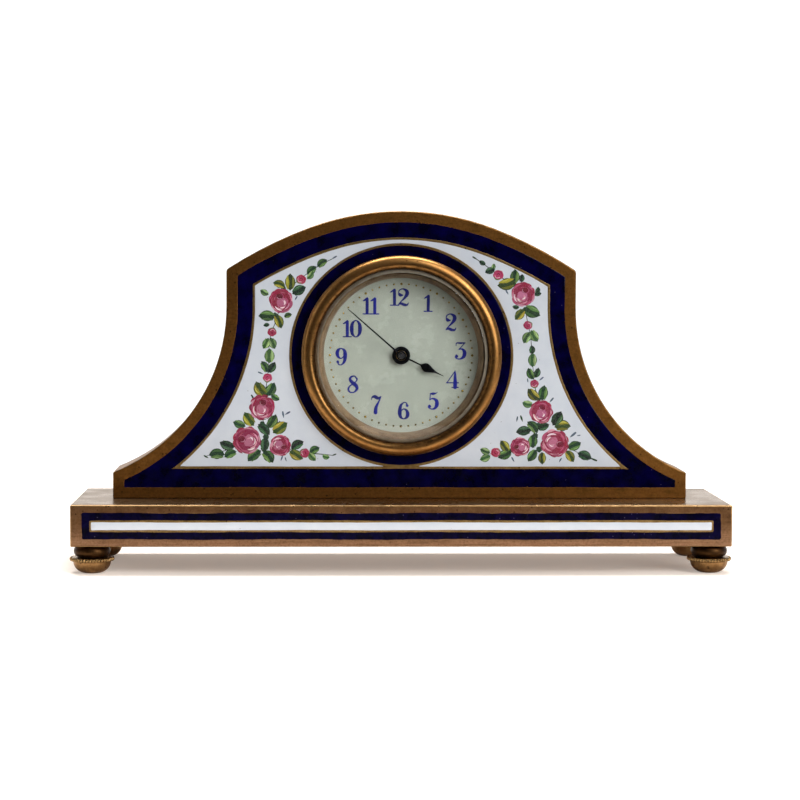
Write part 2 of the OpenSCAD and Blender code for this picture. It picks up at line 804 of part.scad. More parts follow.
// Plan of the barrel bridge, in shares of the main plate's radius, trimmed round by the plate
module barrel_bridge_plan()
    intersection() {
        circle(bridge_r, $fn = 128);
        polygon(main_r * [
            [-1.03, -0.507], [-0.493, -0.377], [-0.322, -0.342], [-0.233, -0.137], [0.13, -0.137],
            [0.158, 1.03], [-1.03, 1.03]
        ]);
    }

module barrel_bridge() color(brass)
    on_dial() difference() {
        union() {
            slab(bridge_front, bridge_back) barrel_bridge_plan();
            for (a = barrel_pillars) rod(pillar_r, main_back, bridge_front + 0.2, polar(pillar_at, a));
        }
        rod(centre_arbor_r - 0.1 + run_fit, bridge_front - past, bridge_back + past);
        rod(barrel_arbor_r + run_fit, bridge_front - past, bridge_back + past, barrel_at);
        rod(set_arbor_r + run_fit, bridge_front - past, bridge_back + past, set_at);
        for (a = barrel_pillars)
            rod(small_screw_r + set_fit, main_back - past, bridge_back + past, polar(pillar_at, a));
        rod(click_pin_r + set_fit, bridge_front - past, bridge_back + past, click_at);
        rod(small_screw_r + set_fit, bridge_front - past, bridge_back + past, click_spring_at);
    }

// Plan of the train bridge, in shares of the main plate's radius, trimmed round by the plate
module train_bridge_plan()
    intersection() {
        circle(bridge_r, $fn = 128);
        polygon(main_r * [
            [0.185, 1.03], [1.03, 1.03], [1.03, -0.616], [0.589, -0.637], [0.247, -0.425],
            [0.247, -0.164], [0.158, -0.11]
        ]);
    }

module train_bridge() color(brass)
    on_dial() difference() {
        union() {
            slab(bridge_front, bridge_back) train_bridge_plan();
            for (a = train_pillars) rod(pillar_r, main_back, bridge_front + 0.2, polar(pillar_at, a));
        }
        for (at = [third_at, fourth_at, escape_at])
            rod(jewel_r + set_fit, bridge_front - past, bridge_back + past, at, $fn = 32);
        for (a = train_pillars)
            rod(small_screw_r + set_fit, main_back - past, bridge_back + past, polar(pillar_at, a));
    }

module pallet_cock() color(brass)
    on_dial() difference() {
        union() {
            slab(pallet_cock_level[0], pallet_cock_level[1])
                bar(pallet_at, pallet_foot_at, pallet_cock_w);
            rod(pallet_cock_w / 2, main_back, pallet_cock_level[0] + 0.2, pallet_foot_at);
        }
        rod(jewel_r + set_fit, pallet_cock_level[0] - past, pallet_cock_level[1] + past, pallet_at,
            $fn = 32);
        rod(small_screw_r + set_fit, main_back - past, pallet_cock_level[1] + past, pallet_foot_at);
    }

// Wedge from the balance's arbor to the edge of the movement
module cock_plan()
    intersection() {
        circle(bridge_r, $fn = 128);
        union() {
            translate(balance_at) circle(cock_neck + 0.25);
            rotate(cock_angle) polygon([
                [norm(balance_at), -cock_neck], [bridge_past, -cock_flare],
                [bridge_past, cock_flare], [norm(balance_at), cock_neck]
            ]);
        }
    }

module balance_cock() color(brass)
    on_dial() difference() {
        union() {
            slab(bridge_front, bridge_back) cock_plan();
            slab(main_back, bridge_front + 0.2) difference() {
                cock_plan();
                circle(cock_foot_r, $fn = 128);
            }
        }
        rod(jewel_r + set_fit, bridge_front - past, bridge_back + past, balance_at, $fn = 32);
        for (side = [-1, 1])
            rod(small_screw_r + set_fit, main_back - past, bridge_back + past,
                polar(cock_screw_at, cock_angle + 8 * side));
    }

module bridge_screws() color(steel)
    on_dial() {
        for (at = screw_places())
            if (at != pallet_foot_at)
                screw(small_screw_r, small_head_r, main_back - 0.8, bridge_back, small_head_t, at);
        screw(small_screw_r, small_head_r, main_back - 0.8, pallet_cock_level[1], small_head_t,
            pallet_foot_at);
        screw(click_pin_r, 0.75, bridge_back - 0.9, ratchet_level[1] + 0.03, 0.35, click_at);
        screw(small_screw_r, small_head_r, bridge_back - 0.9, ratchet_level[1], small_head_t,
            click_spring_at);
    }

// Pierced jewel for a pivot
module jewel(front, at)
    slab(front, front + jewel_t) translate(at) difference() {
        circle(jewel_r, $fn = 32);
        circle(pivot_r + run_fit, $fn = 32);
    }

module jewels() color(ruby)
    on_dial() {
        for (at = [third_at, fourth_at, escape_at, pallet_at, balance_at]) jewel(main_back - jewel_t, at);
        for (at = [third_at, fourth_at, escape_at, balance_at]) jewel(bridge_front, at);
        jewel(pallet_cock_level[0], pallet_at);
    }

// Balance spring with its collet, and the stud that hangs it from the cock
module hairspring() color(dark_steel)
    on_dial() translate([balance_at[0], 0, balance_at[1]]) rotate([0, -cock_angle, 0]) {
        slab(spring_level[0], spring_level[1]) {
            polygon(spiral(0.62, hairspring_r, 5, 0.12));
            difference() {
                circle(0.66);
                circle(arbor_r + 0.06);
            }
        }
        rod(0.25, spring_level[0], bridge_front, [hairspring_r + 0.1, 0]);
    }

// Lever on the cock that trims the rate
module regulator() color(steel)
    on_dial() slab(bridge_back, bridge_back + 0.25) translate(balance_at)
        difference() {
            union() {
                circle(1.3);
                bar([0, 0], polar(3.9, cock_angle), 0.6);
                bar([0, 0], polar(2, cock_angle + 180), 0.5);
            }
            circle(jewel_r + 0.15);
        }

module click_spring() color(steel)
    on_dial() slab(bridge_back, ratchet_level[1]) difference() {
        union() {
            bar(click_spring_at, click_tip + [0.6, 1.35], 0.3);
            translate(click_spring_at) circle(0.8);
        }
        translate(click_spring_at) circle(small_screw_r + set_fit);
    }

// Winding work

// Barrel arbor: pivots, the hub that holds the mainspring, and the square for the key
module winding_arbor() color(steel)
    on_dial() {
        rod(barrel_arbor_r - 0.2, main_front, barrel_level[0] - 0.1, barrel_at);
        rod(barrel_arbor_r, barrel_level[0] - 0.2, bridge_back, barrel_at);
        rod(barrel_hub_r, barrel_level[0] + 0.5, barrel_level[1] - 0.4, barrel_at);
        slab(bridge_back - 0.1, ratchet_level[1] + 1.6) translate(barrel_at)
            square(square_side, center = true);
    }

module ratchet_wheel() color(steel)
    on_dial() slab(ratchet_level[0], ratchet_level[1]) translate(barrel_at) difference() {
        polygon([for (i = [0 : ratchet_teeth - 1], k = [0, 1])
            polar(k == 0 ? ratchet_r : ratchet_r - 0.45, (i + 0.9 * k) * 360 / ratchet_teeth)]);
        square(square_side + 2 * set_fit, center = true);
    }

// Low butterfly key on the arbor's square
module winding_key() color(brass)
    on_dial() translate([barrel_at[0], 0, barrel_at[1]]) rotate([0, -35, 0])
        difference() {
            union() {
                rod(1.5, ratchet_level[1] + 0.1, ratchet_level[1] + 1.9);
                linear_extrude(0.9, center = true) {
                    translate([-2, ratchet_level[1] + 1]) square([4, 1.5]);
                    for (side = [-1, 1])
                        translate([side * 2.1, ratchet_level[1] + 2]) circle(1.35);
                }
            }
            rotate([0, 35, 0]) slab(0, ratchet_level[1] + 1.65)
                square(square_side + 2 * set_fit, center = true);
        }

module click() color(steel)
    on_dial() slab(ratchet_level[0], ratchet_level[1]) difference() {
        union() {
            translate(click_at) circle(0.95);
            polygon([
                click_at + [0.2, 0.9], click_tip + [0.5, 0.5], click_tip,
                click_tip + [0.5, -0.1], click_at + [-0.2, -0.9]
            ]);
        }
        translate(click_at) circle(click_pin_r + run_fit);
    }

// Going train

module barrel() color(brass)
    on_dial() difference() {
        union() {
            slab(barrel_level[0], barrel_level[0] + barrel_rim_t) translate(barrel_at)
                polygon(wheel_teeth(barrel_teeth, barrel_m,
                    in_mesh(0, centre_leaves, barrel_teeth, to_barrel)));
            rod(drum_r(), barrel_level[0] + 0.2, barrel_level[1], barrel_at);
        }
        rod(drum_r() - 0.35, barrel_level[0] + barrel_rim_t, barrel_level[1] + past, barrel_at);
        rod(barrel_arbor_r + run_fit, barrel_level[0] - past, barrel_level[1], barrel_at);
    }

// Outside radius of the barrel's drum, inside the roots of its teeth
function drum_r() = barrel_m * (barrel_teeth / 2 - 1.25) - 0.1;

module barrel_cover() color(brass)
    on_dial() slab(barrel_level[1] - 0.3, barrel_level[1]) translate(barrel_at) difference() {
        circle(drum_r() - 0.35 - set_fit);
        circle(barrel_arbor_r + run_fit);
    }

module mainspring() color(dark_steel)
    on_dial() slab(barrel_level[0] + barrel_rim_t + 0.1, barrel_level[1] - 0.4) translate(barrel_at)
        polygon(spiral(barrel_hub_r + 0.17, drum_r() - 0.55, 6, 0.22));

module centre_wheel() color(brass)
    on_dial() {
        slab(centre_level[0], centre_level[1]) difference() {
            polygon(wheel_teeth(centre_teeth, centre_m, 0));
            windows(centre_m * (centre_teeth / 2 - 1.25) - 0.6, 1.1, 5, 0.55);
        }
        slab(centre_level[1] - 0.1, main_back + 1.7) polygon(pinion_leaves(centre_leaves, barrel_m, 0));
        rod(centre_arbor_r, dial_depth - 1.85, bridge_front - 0.05);
        rod(centre_arbor_r - 0.1, bridge_front - 0.2, bridge_back - 0.1);
    }

module third_wheel() color(brass)
    on_dial() {
        slab(third_level[0], third_level[1]) translate(third_at) difference() {
            polygon(wheel_teeth(third_teeth, third_m, 0));
            windows(third_m * (third_teeth / 2 - 1.25) - 0.45, 0.9, 4, 0.45);
        }
        slab(centre_level[0] - 0.1, third_level[0] + 0.1) translate(third_at)
            polygon(pinion_leaves(third_leaves, centre_m,
                in_mesh(0, centre_teeth, third_leaves, to_third)));
        train_arbor(arbor_r, third_at);
    }

module fourth_wheel() color(brass)
    on_dial() {
        slab(fourth_level[0], fourth_level[1]) translate(fourth_at) difference() {
            polygon(wheel_teeth(fourth_teeth, fourth_m, 0));
            windows(fourth_m * (fourth_teeth / 2 - 1.25) - 0.4, 0.8, 4, 0.4);
        }
        slab(third_level[0] - 0.1, fourth_level[0] + 0.1) translate(fourth_at)
            polygon(pinion_leaves(fourth_leaves, third_m,
                in_mesh(0, third_teeth, fourth_leaves, to_fourth)));
        train_arbor(arbor_r, fourth_at);
    }

// Club teeth that lean forward, with a pinion above them
module escape_wheel() color(steel)
    on_dial() {
        slab(escape_level[0], escape_level[1]) translate(escape_at) difference() {
            polygon([for (i = [0 : escape_teeth - 1], k = [0 : 3])
                let (step = 360 / escape_teeth, at = [0, 0.62, 0.78, 0.3][k])
                polar([escape_r - 0.6, escape_r - 0.12, escape_r, escape_r - 0.6][k],
                    (i + (k == 3 ? 0.95 : at)) * step)]);
            windows(escape_r - 0.9, 0.6, 4, 0.35);
        }
        slab(fourth_level[0] - 0.2, fourth_level[1] + 0.3) translate(escape_at)
            polygon(pinion_leaves(escape_leaves, fourth_m,
                in_mesh(0, fourth_teeth, escape_leaves, to_escape)));
        train_arbor(arbor_r - 0.04, escape_at);
    }

// Anchor with two stones beside the escape wheel, and a fork that reaches for the balance
module pallet_lever() color(steel)
    on_dial() {
        slab(fork_level[0], fork_level[1]) {
            translate(pallet_at) circle(0.5);
            bar(pallet_at, pallet_at + polar(fork_l - 0.05, to_pallet), 0.36);
            for (side = [-1, 1]) {
                bar(pallet_at, escape_at + polar(escape_r + 0.75, to_pallet + 30 * side), 0.42);
                translate(escape_at) rotate(to_pallet + 30 * side)
                    translate([escape_r + 0.25, -0.16]) square([0.7, 0.32]);
                bar(pallet_at + polar(fork_l - 0.25, to_pallet),
                    pallet_at + polar(fork_l, to_pallet) + polar(0.32 * side, to_pallet + 90), 0.2);
            }
        }
        arbor(arbor_r - 0.04, main_back + 0.1, pallet_cock_level[0] - 0.05, main_back - 0.35,
            pallet_cock_level[0] + 0.35, pallet_at);
    }

// Balance with its staff, timing screws, and the roller that carries the impulse pin
module balance_wheel() color(brass)
    on_dial() translate([balance_at[0], 0, balance_at[1]]) {
        slab(balance_level[0], balance_level[1]) difference() {
            circle(balance_rim_r);
            windows(balance_rim_r - 0.5, 0.8, 2, 0.7);
        }
        for (i = [0 : 9]) rotate([0, 36 * i + 18, 0])
            translate([balance_rim_r - 0.2, (balance_level[0] + balance_level[1]) / 2, 0])
                rotate([0, 90, 0]) cylinder(r = 0.17, h = timing_out + 0.2, $fn = 24);
        rod(1, roller_level[0], roller_level[1]);
        rod(0.12, fork_level[0] - 0.05, roller_level[0] + 0.1, [0.8, 0], $fn = 24);
        train_arbor(arbor_r, [0, 0]);
    }

// Motion work, hands and setting work

module cannon_pinion() color(steel)
    on_dial() difference() {
        union() {
            slab(main_front - 0.75, main_front - 0.15)
                polygon(pinion_leaves(cannon_leaves, minute_m, 0));
            rod(cannon_pipe_r, dial_depth - 1.7, main_front - 0.3);
        }
        rod(centre_arbor_r + run_fit, 0, main_front + past);
    }

module minute_hand() color(dark_steel)
    on_dial() rotate([0, 6 * minutes_shown, 0]) {
        slab(dial_depth - 1.65, dial_depth - 1.2) difference() {
            circle(0.9);
            circle(cannon_pipe_r + set_fit);
        }
        slab(dial_depth - 1.5, dial_depth - 1.5 + hand_t)
            polygon([[-0.17, 0.8], [-0.07, minute_l], [0.07, minute_l], [0.17, 0.8]]);
    }

module minute_wheel() color(brass)
    on_dial() slab(main_front - 0.65, main_front - 0.35) translate(minute_at) difference() {
        polygon(wheel_teeth(minute_teeth, minute_m, minute_phase()));
        circle(minute_post_r + run_fit);
    }

function minute_phase() = in_mesh(0, cannon_leaves, minute_teeth, to_minute);

module hour_wheel() color(brass)
    on_dial() difference() {
        union() {
            slab(dial_back + 0.35, dial_back + 0.65)
                polygon(wheel_teeth(hour_teeth, hour_m,
                    in_mesh(0, minute_leaves, hour_teeth, to_minute - 180)));
            rod(hour_pipe_r, dial_depth - 1.05, dial_back + 0.5);
        }
        rod(cannon_pipe_r + run_fit, 0, main_front);
    }

// Pear-shaped hand with a fine point
module hour_hand() color(dark_steel)
    on_dial() rotate([0, 30 * (hour_shown + minutes_shown / 60), 0]) {
        slab(dial_depth - 1, dial_depth - 0.5) difference() {
            circle(1.7);
            circle(hour_pipe_r + set_fit);
        }
        slab(dial_depth - 0.85, dial_depth - 0.85 + hand_t)
            for (side = [-1, 1]) polygon(concat(
                [[0, 1.6], [0.16 * side, 1.6]],
                [for (p = hour_hand_edge) hour_l * [side * p[0], p[1]]],
                [[0, hour_l]]
            ));
    }

module set_arbor() color(steel)
    on_dial() {
        rod(set_arbor_r, main_front - 0.8, bridge_back + 2.2, set_at);
        slab(main_front - 0.7, main_front - 0.3) translate(set_at)
            polygon(pinion_leaves(cannon_leaves, minute_m,
                in_mesh(minute_phase(), minute_teeth, cannon_leaves, to_set)));
    }

// Knurled knob that turns the hands
module set_knob() color(brass)
    on_dial() slab(bridge_back + 0.9, bridge_back + 2.6) translate(set_at) difference() {
        polygon([for (i = [0 : 35]) polar(2 - 0.15 * (i % 2), 10 * i)]);
        circle(set_arbor_r + set_fit);
    }

plinth_body();
plinth_front_plate();
plinth_blue_enamel();
plinth_white_enamel();
plinth_bottom_plate();
foot_front_left();
foot_front_right();
foot_back_left();
foot_back_right();
foot_beaded_rings();
foot_collars();
case_screws();
case_band();
case_front_plate();
border_blue_enamel();
field_white_enamel();
ring_blue_enamel();
case_back_plate();
back_plate_screws();
back_door();
hinge_pin();
bezel();
crystal();
sight_ring();
dial();
movement_ring();
ring_screws();
main_plate();
movement_screws();
barrel_bridge();
train_bridge();
pallet_cock();
balance_cock();
bridge_screws();
jewels();
hairspring();
regulator();
click_spring();
winding_arbor();
ratchet_wheel();
winding_key();
click();
barrel();
barrel_cover();
mainspring();
centre_wheel();
third_wheel();
fourth_wheel();
escape_wheel();
pallet_lever();
balance_wheel();
cannon_pinion();
minute_hand();
minute_wheel();
hour_wheel();
hour_hand();
set_arbor();
set_knob();
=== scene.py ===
"""Looks of the table clock: gilt metal, blue and white enamel, painted roses, dial, glass and movement."""

import json
import math
import random

import bmesh
import bpy
from mathutils import Matrix, Vector


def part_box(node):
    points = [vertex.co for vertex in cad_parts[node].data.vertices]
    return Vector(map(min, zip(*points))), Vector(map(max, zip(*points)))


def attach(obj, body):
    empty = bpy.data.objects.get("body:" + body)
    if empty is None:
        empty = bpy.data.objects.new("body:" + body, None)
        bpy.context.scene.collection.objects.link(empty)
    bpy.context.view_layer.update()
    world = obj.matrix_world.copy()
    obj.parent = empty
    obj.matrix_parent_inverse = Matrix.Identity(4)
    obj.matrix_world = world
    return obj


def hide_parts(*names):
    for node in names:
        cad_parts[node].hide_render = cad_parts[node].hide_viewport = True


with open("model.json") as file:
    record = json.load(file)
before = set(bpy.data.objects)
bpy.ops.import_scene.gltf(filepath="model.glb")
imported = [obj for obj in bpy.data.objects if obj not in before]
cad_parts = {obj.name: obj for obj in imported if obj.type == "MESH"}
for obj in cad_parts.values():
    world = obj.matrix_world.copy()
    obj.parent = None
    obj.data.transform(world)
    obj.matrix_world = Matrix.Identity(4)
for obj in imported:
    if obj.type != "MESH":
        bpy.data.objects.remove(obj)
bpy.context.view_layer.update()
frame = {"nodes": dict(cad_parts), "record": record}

# Sizes are written in millimetres and become metres only in the meshes.
MM = 0.001

# Case front, as the construction has it: widths, heights above the plinth and radii
CASE_W = 110.3
SHOULDER_W = 66.9
CASE_H = 55.1
SIDE_H = 5.0
FLANK_R = 34.3
CROWN_R = 50.0
ARCH_R = 82.0
CROWN_ANGLE = math.radians(20.9)
SHOULDER_ROUND = 0.9
BORDER_W = 2.2
BLUE_W = 2.75
BLUE_FOOT = 3.45
FILLET_W = 0.6
DIAL_H = 27.5
RING_R = 20.95

# Plinth front: the stripe's distance from the ends and edges, and the widths of its blue and its line
STRIPE_END = 2.4
STRIPE_EDGE = 1.65
STRIPE_BLUE = 1.12
STRIPE_FILLET = 0.45

# Metal lines: where their tops and their flanks' foot lie, and how much thinner than their cell walls
# they are on the case and on the plinth
LINE_TOP = -0.045
LINE_FOOT = 0.035
LINE_THIN = 0.1
STRIPE_THIN = 0.09
# How far the stripe's blue spreads over the plate, and the case's enamels over their cells' edges
STRIPE_SPREAD = 0.12
ENAMEL_SPREAD = LINE_THIN + 0.04
ENAMEL_PROUD = 0.02

# Turned parts: radii, depths behind the case's front, and the sight ring's lip over the dial
GLASS_R = 16.55
GLASS_T = 1.6
GLASS_BEVEL = 0.7
BEZEL_R = 19.15
BEZEL_H = 3.0
BEZEL_SIDE = 1.7
BEZEL_SLEEVE_R = 17.55
SIGHT_R = 15.95
SIGHT_LIP = 0.2
TURNED_FIT = 0.02
FRONT_T = 1.6
DIAL_R = 14.75
DIAL_DEPTH = 2.0

# Decoration of the movement: width of the bridges' stripes and of the plate's round grains
STRIPE_PITCH = 1.5
GRAIN_PITCH = 1.1

# Hands, in degrees from the twelve and in depths behind the case's front
HOUR_ANGLE = 30 * (3 + 51.83 / 60)
MINUTE_ANGLE = 6 * 51.83
HAND_T = 0.22
HOUR_LEVEL = 1.15
MINUTE_LEVEL = 0.5

# Feet: their places, radii of the washer, its hole and its ring of beads, and a bead's half-sizes
FOOT_AT = [Vector((x, y, 0)) for x in (-58.3, 58.3) for y in (-11.3, 11.3)]
WASHER_R = 3.85
WASHER_HOLE_R = 1.02
BEAD_RING_R = 3.95
BEAD = (0.25, 0.24, 0.35)
BEADS = 44

# Minute dots: radius of their ring, and a dot's half-sizes
DOT_RING_R = 13.4
DOT = (0.19, 0.19, 0.15)

# Floor: how far behind the origin its middle lies, and its half width and half depth, in metres
FLOOR_MIDDLE = 0.055
FLOOR_REACH = (0.22, 0.135)
# The floor's own white for the camera: from and to which share of its reach it grows, and what it is
GLOW_REACH = (0.5, 0.9)
GLOW_LEVEL = (0.25, 1.0)

# Strength of the room's light in front of the clock and behind it, and its share low down and high up
ROOM_FRONT_BACK = (0.03, 1.2)
ROOM_LOW_HIGH = (1.0, 0.4)
# Lamps in metres and watts: name, place, height of the point that they face, width, height and power
LAMPS = (
    ("overhead", (0.0, 0.12, 0.8), 0.0, 0.6, 0.3, 8.6),
    ("front", (0.62, -0.85, 0.98), 0.04, 0.5, 0.5, 6.0),
    ("right", (0.85, -0.95, 0.45), 0.04, 0.7, 0.7, 9.5),
    ("left_strip", (-0.75, -0.3, 0.3), 0.04, 0.06, 0.7, 0.6),
)

# Camera: place, the degrees that it turns right, up and about its own axis, and its lens in pixels
CAMERA_AT = (-15.29, -414.61, 59.3)
CAMERA_TURN = (2.096, -3.789, 0.25)
FOCAL_PIXELS = 2151.0
PICTURE_PIXELS = 800
SENSOR_W = 36.0

# Meshes: gaps within which the vertices of a copy and of a pole are joined, and the angle in degrees
# from which an edge is rounded and creased
LOOSE_GAP = 0.0015
POLE_GAP = 0.002
CREASE = 32

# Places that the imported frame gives
PLINTH_LOW, PLINTH_HIGH = (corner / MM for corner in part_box("plinth_body"))
PLINTH_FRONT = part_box("plinth_front_plate")[0].y / MM
CASE_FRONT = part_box("case_front_plate")[0].y / MM
CASE_FOOT = PLINTH_HIGH.z
DIAL_Z = CASE_FOOT + DIAL_H
DIAL_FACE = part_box("dial")[0].y / MM

BODY_OF = {
    node: body
    for body, members in frame["record"]["behaviour"]["bodies"].items()
    for node in members
}


# Colours and nodes


def srgb(*parts):
    """Linear colour of a screen colour given from 0 to 255."""
    shares = (part / 255 for part in parts)
    return (*(s / 12.92 if s <= 0.04045 else ((s + 0.055) / 1.055) ** 2.4 for s in shares), 1.0)


class Nodes:
    """Nodes of one tree: each method adds one, feeds its inputs and returns its output."""

    def __init__(self, tree):
        self.tree = tree

    def feed(self, socket, value):
        """Links an output to an input, or sets the input to a plain value."""
        if isinstance(value, bpy.types.NodeSocket):
            self.tree.links.new(value, socket)
        else:
            socket.default_value = value

    def node(self, kind, output=0, inputs=(), **settings):
        """A node of any kind, with its inputs by name or by number."""
        made = self.tree.nodes.new(kind)
        for name, value in settings.items():
            setattr(made, name, value)
        for name, value in dict(inputs).items():
            self.feed(made.inputs[name], value)
        return made.outputs[output]

    def ramp(self, value, low, high, to_low=0.0, to_high=1.0):
        """Maps low to high of a value onto two numbers, and holds them outside."""
        return self.node("ShaderNodeMapRange", "Result", {
            "Value": value, "From Min": low, "From Max": high, "To Min": to_low, "To Max": to_high,
        })

    def math(self, operation, *values):
        return self.node("ShaderNodeMath", 0, dict(enumerate(values)), operation=operation)

    def times(self, first, second):
        return self.math("MULTIPLY", first, second)


class Finish(Nodes):
    """One procedural material: its Principled shader and the nodes that feed it."""

    def __init__(self, name):
        self.material = bpy.data.materials.new(name)
        self.material.use_nodes = True
        super().__init__(self.material.node_tree)
        self.shader = self.tree.nodes["Principled BSDF"]
        self.place = self.node("ShaderNodeTexCoord", "Object")

    def set(self, **values):
        for name, value in values.items():
            self.feed(self.shader.inputs[name.replace("_", " ")], value)

    def show(self, surface):
        """Puts another shader on the surface in place of the Principled one."""
        self.feed(self.tree.nodes["Material Output"].inputs["Surface"], surface)

    def stretched(self, across, deep, high, turn=(0, 0, 0)):
        """Object coordinates with their own scale along X, Y and Z."""
        return self.node("ShaderNodeMapping", "Vector", {
            "Vector": self.place, "Scale": (across, deep, high), "Rotation": turn,
        })

    def noise(self, scale, detail=3.0, rough=0.5, at=None):
        """Noise with a feature size of scale millimetres."""
        return self.node("ShaderNodeTexNoise", "Fac", {
            "Vector": at or self.place, "Scale": 1 / (scale * MM), "Detail": detail, "Roughness": rough,
        })

    def clouds(self, size, top=0.7):
        """Soft patches of a size in millimetres, from 0 to 1."""
        return self.ramp(self.noise(size, 4.0, 0.6), 0.35, top)

    def scratches(self, *grain):
        """Fine lines, closest together along the axis that is stretched most."""
        return self.noise(1000, 2.0, 0.6, self.stretched(*grain))

    def cells(self, spacing, random=1.0):
        """Distance to the nearest of many points that lie a spacing in millimetres apart."""
        return self.node("ShaderNodeTexVoronoi", "Distance", {
            "Vector": self.place, "Scale": 1 / (spacing * MM), "Randomness": random,
        })

    def specks(self, spacing, size):
        """1 inside sparse round specks and 0 elsewhere."""
        return self.ramp(self.cells(spacing), size, size * 1.25, 1.0, 0.0)

    def mix(self, share, first, second):
        """Mix of two colours by a share from 0 to 1."""
        inputs = {"Factor": share, "A": first, "B": second}
        return self.node("ShaderNodeMix", "Result", inputs, data_type="RGBA")

    def axis(self, index):
        """One coordinate of the place, in metres."""
        return self.node("ShaderNodeSeparateXYZ", index, {"Vector": self.place})

    def bump(self, height, depth):
        """Surface relief of a depth in millimetres."""
        inputs = {"Height": height, "Distance": depth * MM, "Strength": 1.0}
        self.set(Normal=self.node("ShaderNodeBump", "Normal", inputs))


def gilt_metal(name, bright, brown, dark, rough, patch, grain=(300, 300, 4000), relief=0.01, painted_light_ramp=None):
    """Old gilding: cloudy patches, dark spots, fine scratches along a grain and uneven gloss.
    Painted_light_ramp paints light and shade into the colour. It takes a measure, from where to where it runs
    in millimetres, and the painted tone that it leads to."""
    finish = Finish(name)
    bright, brown, dark = (srgb(*tone) for tone in (bright, brown, dark))
    clouds = finish.clouds(patch, 0.68)
    fine = finish.ramp(finish.noise(patch / 7, 3.0, 0.65), 0.4, 0.75)
    scratches = finish.scratches(*grain)
    colour = finish.mix(clouds, bright, brown)
    colour = finish.mix(finish.times(fine, 0.45), colour, dark)
    colour = finish.mix(finish.times(finish.ramp(scratches, 0.35, 0.75), 0.35), colour, bright)
    colour = finish.mix(finish.times(finish.specks(1.6, 0.1), 0.7), colour, dark)
    # Painted light and shade: along the measure the colour leads to a painted tone, lighter for a reflection,
    # darker for a shade
    if painted_light_ramp:
        measure, start, end, tone = painted_light_ramp
        share = finish.ramp(measure(finish), start * MM, end * MM, 0.0, 0.85)
        broken = finish.ramp(scratches, 0.36, 0.6, 0.5, 1.0)
        broken = finish.times(broken, finish.ramp(fine, 0.0, 1.0, 1.0, 0.4))
        colour = finish.mix(finish.times(share, broken), colour, srgb(*tone))
    finish.set(Base_Color=colour, Metallic=1.0, Roughness=finish.ramp(clouds, 0.0, 1.0, *rough))
    finish.bump(finish.math("ADD", finish.times(scratches, 0.6), fine), relief)
    return finish.material


def height_above_floor(finish):
    return finish.axis(2)


def way_from_glass(finish):
    """Distance from the dial's axis."""
    across = finish.math("POWER", finish.axis(0), 2.0)
    up = finish.math("POWER", finish.math("SUBTRACT", finish.axis(2), DIAL_Z * MM), 2.0)
    return finish.math("SQRT", finish.math("ADD", across, up))


def enamel(name, deep, light, speck, rough, cloud, specks, relief=0.006, gloss=0.32):
    """Fired glass: a clouded colour under gloss, with pinholes and specks."""
    finish = Finish(name)
    clouds = finish.ramp(finish.noise(cloud, 5.0, 0.62), 0.36, 0.68)
    colour = finish.mix(clouds, srgb(*deep), srgb(*light))
    colour = finish.mix(finish.specks(*specks), colour, srgb(*speck))
    finish.set(Base_Color=colour, Roughness=finish.ramp(finish.noise(2.4, 3.0), 0.3, 0.7, *rough))
    finish.set(IOR=1.54, Specular_IOR_Level=gloss)
    pinholes = finish.times(finish.specks(*specks), -0.6)
    finish.bump(finish.math("ADD", finish.noise(3.2, 2.0, 0.4), pinholes), relief)
    return finish.material


def polished_metal(name, bright, dull, rough, grain):
    """Bright movement metal with a faint grain and uneven tarnish."""
    finish = Finish(name)
    bright, dull = srgb(*bright), srgb(*dull)
    scratches = finish.scratches(*grain)
    colour = finish.mix(finish.times(finish.clouds(2.2), 0.6), bright, dull)
    colour = finish.mix(finish.ramp(scratches, 0.3, 0.8, 0.0, 0.4), colour, dull)
    finish.set(Base_Color=colour, Metallic=1.0, Roughness=finish.ramp(scratches, 0.3, 0.7, *rough))
    finish.bump(scratches, 0.002)
    return finish.material


def dull_metal(name, pale, deep):
    """Lacquered metal whose gloss has gone, with a faint grain."""
    finish = Finish(name)
    clouds = finish.clouds(2.5)
    finish.set(Base_Color=finish.mix(clouds, srgb(*pale), srgb(*deep)), Metallic=0.35)
    finish.set(Roughness=finish.ramp(clouds, 0.0, 1.0, 0.5, 0.62))
    finish.bump(finish.noise(0.3, 3.0), 0.006)
    return finish.material


def striped_brass():
    """Gilt bridge brass with broad polished stripes that cross it on a slant."""
    finish = Finish("striped_brass")
    across = finish.math("ADD", finish.times(finish.axis(0), 0.77), finish.times(finish.axis(2), 0.64))
    place_in_stripe = finish.math("FRACT", finish.times(across, 1 / (STRIPE_PITCH * MM)))
    fine = finish.scratches(600, 600, 6000, (0, 0.87, 0))
    colour = finish.mix(place_in_stripe, srgb(226, 192, 128), srgb(190, 152, 92))
    colour = finish.mix(finish.ramp(fine, 0.3, 0.8, 0.0, 0.3), colour, srgb(176, 132, 70))
    finish.set(Base_Color=colour, Metallic=1.0, Roughness=finish.ramp(fine, 0.3, 0.7, 0.2, 0.34))
    finish.bump(finish.math("ADD", place_in_stripe, finish.times(fine, 0.2)), 0.02)
    return finish.material


def grained_brass():
    """Gilt plate brass with overlapping round graining."""
    finish = Finish("grained_brass")
    rings = finish.math("SINE", finish.times(finish.cells(GRAIN_PITCH, 0.15), 60.0))
    colour = finish.mix(finish.ramp(rings, -1.0, 1.0), srgb(214, 174, 104), srgb(232, 196, 126))
    finish.set(Base_Color=colour, Metallic=1.0, Roughness=finish.ramp(rings, -1.0, 1.0, 0.26, 0.4))
    finish.bump(rings, 0.004)
    return finish.material


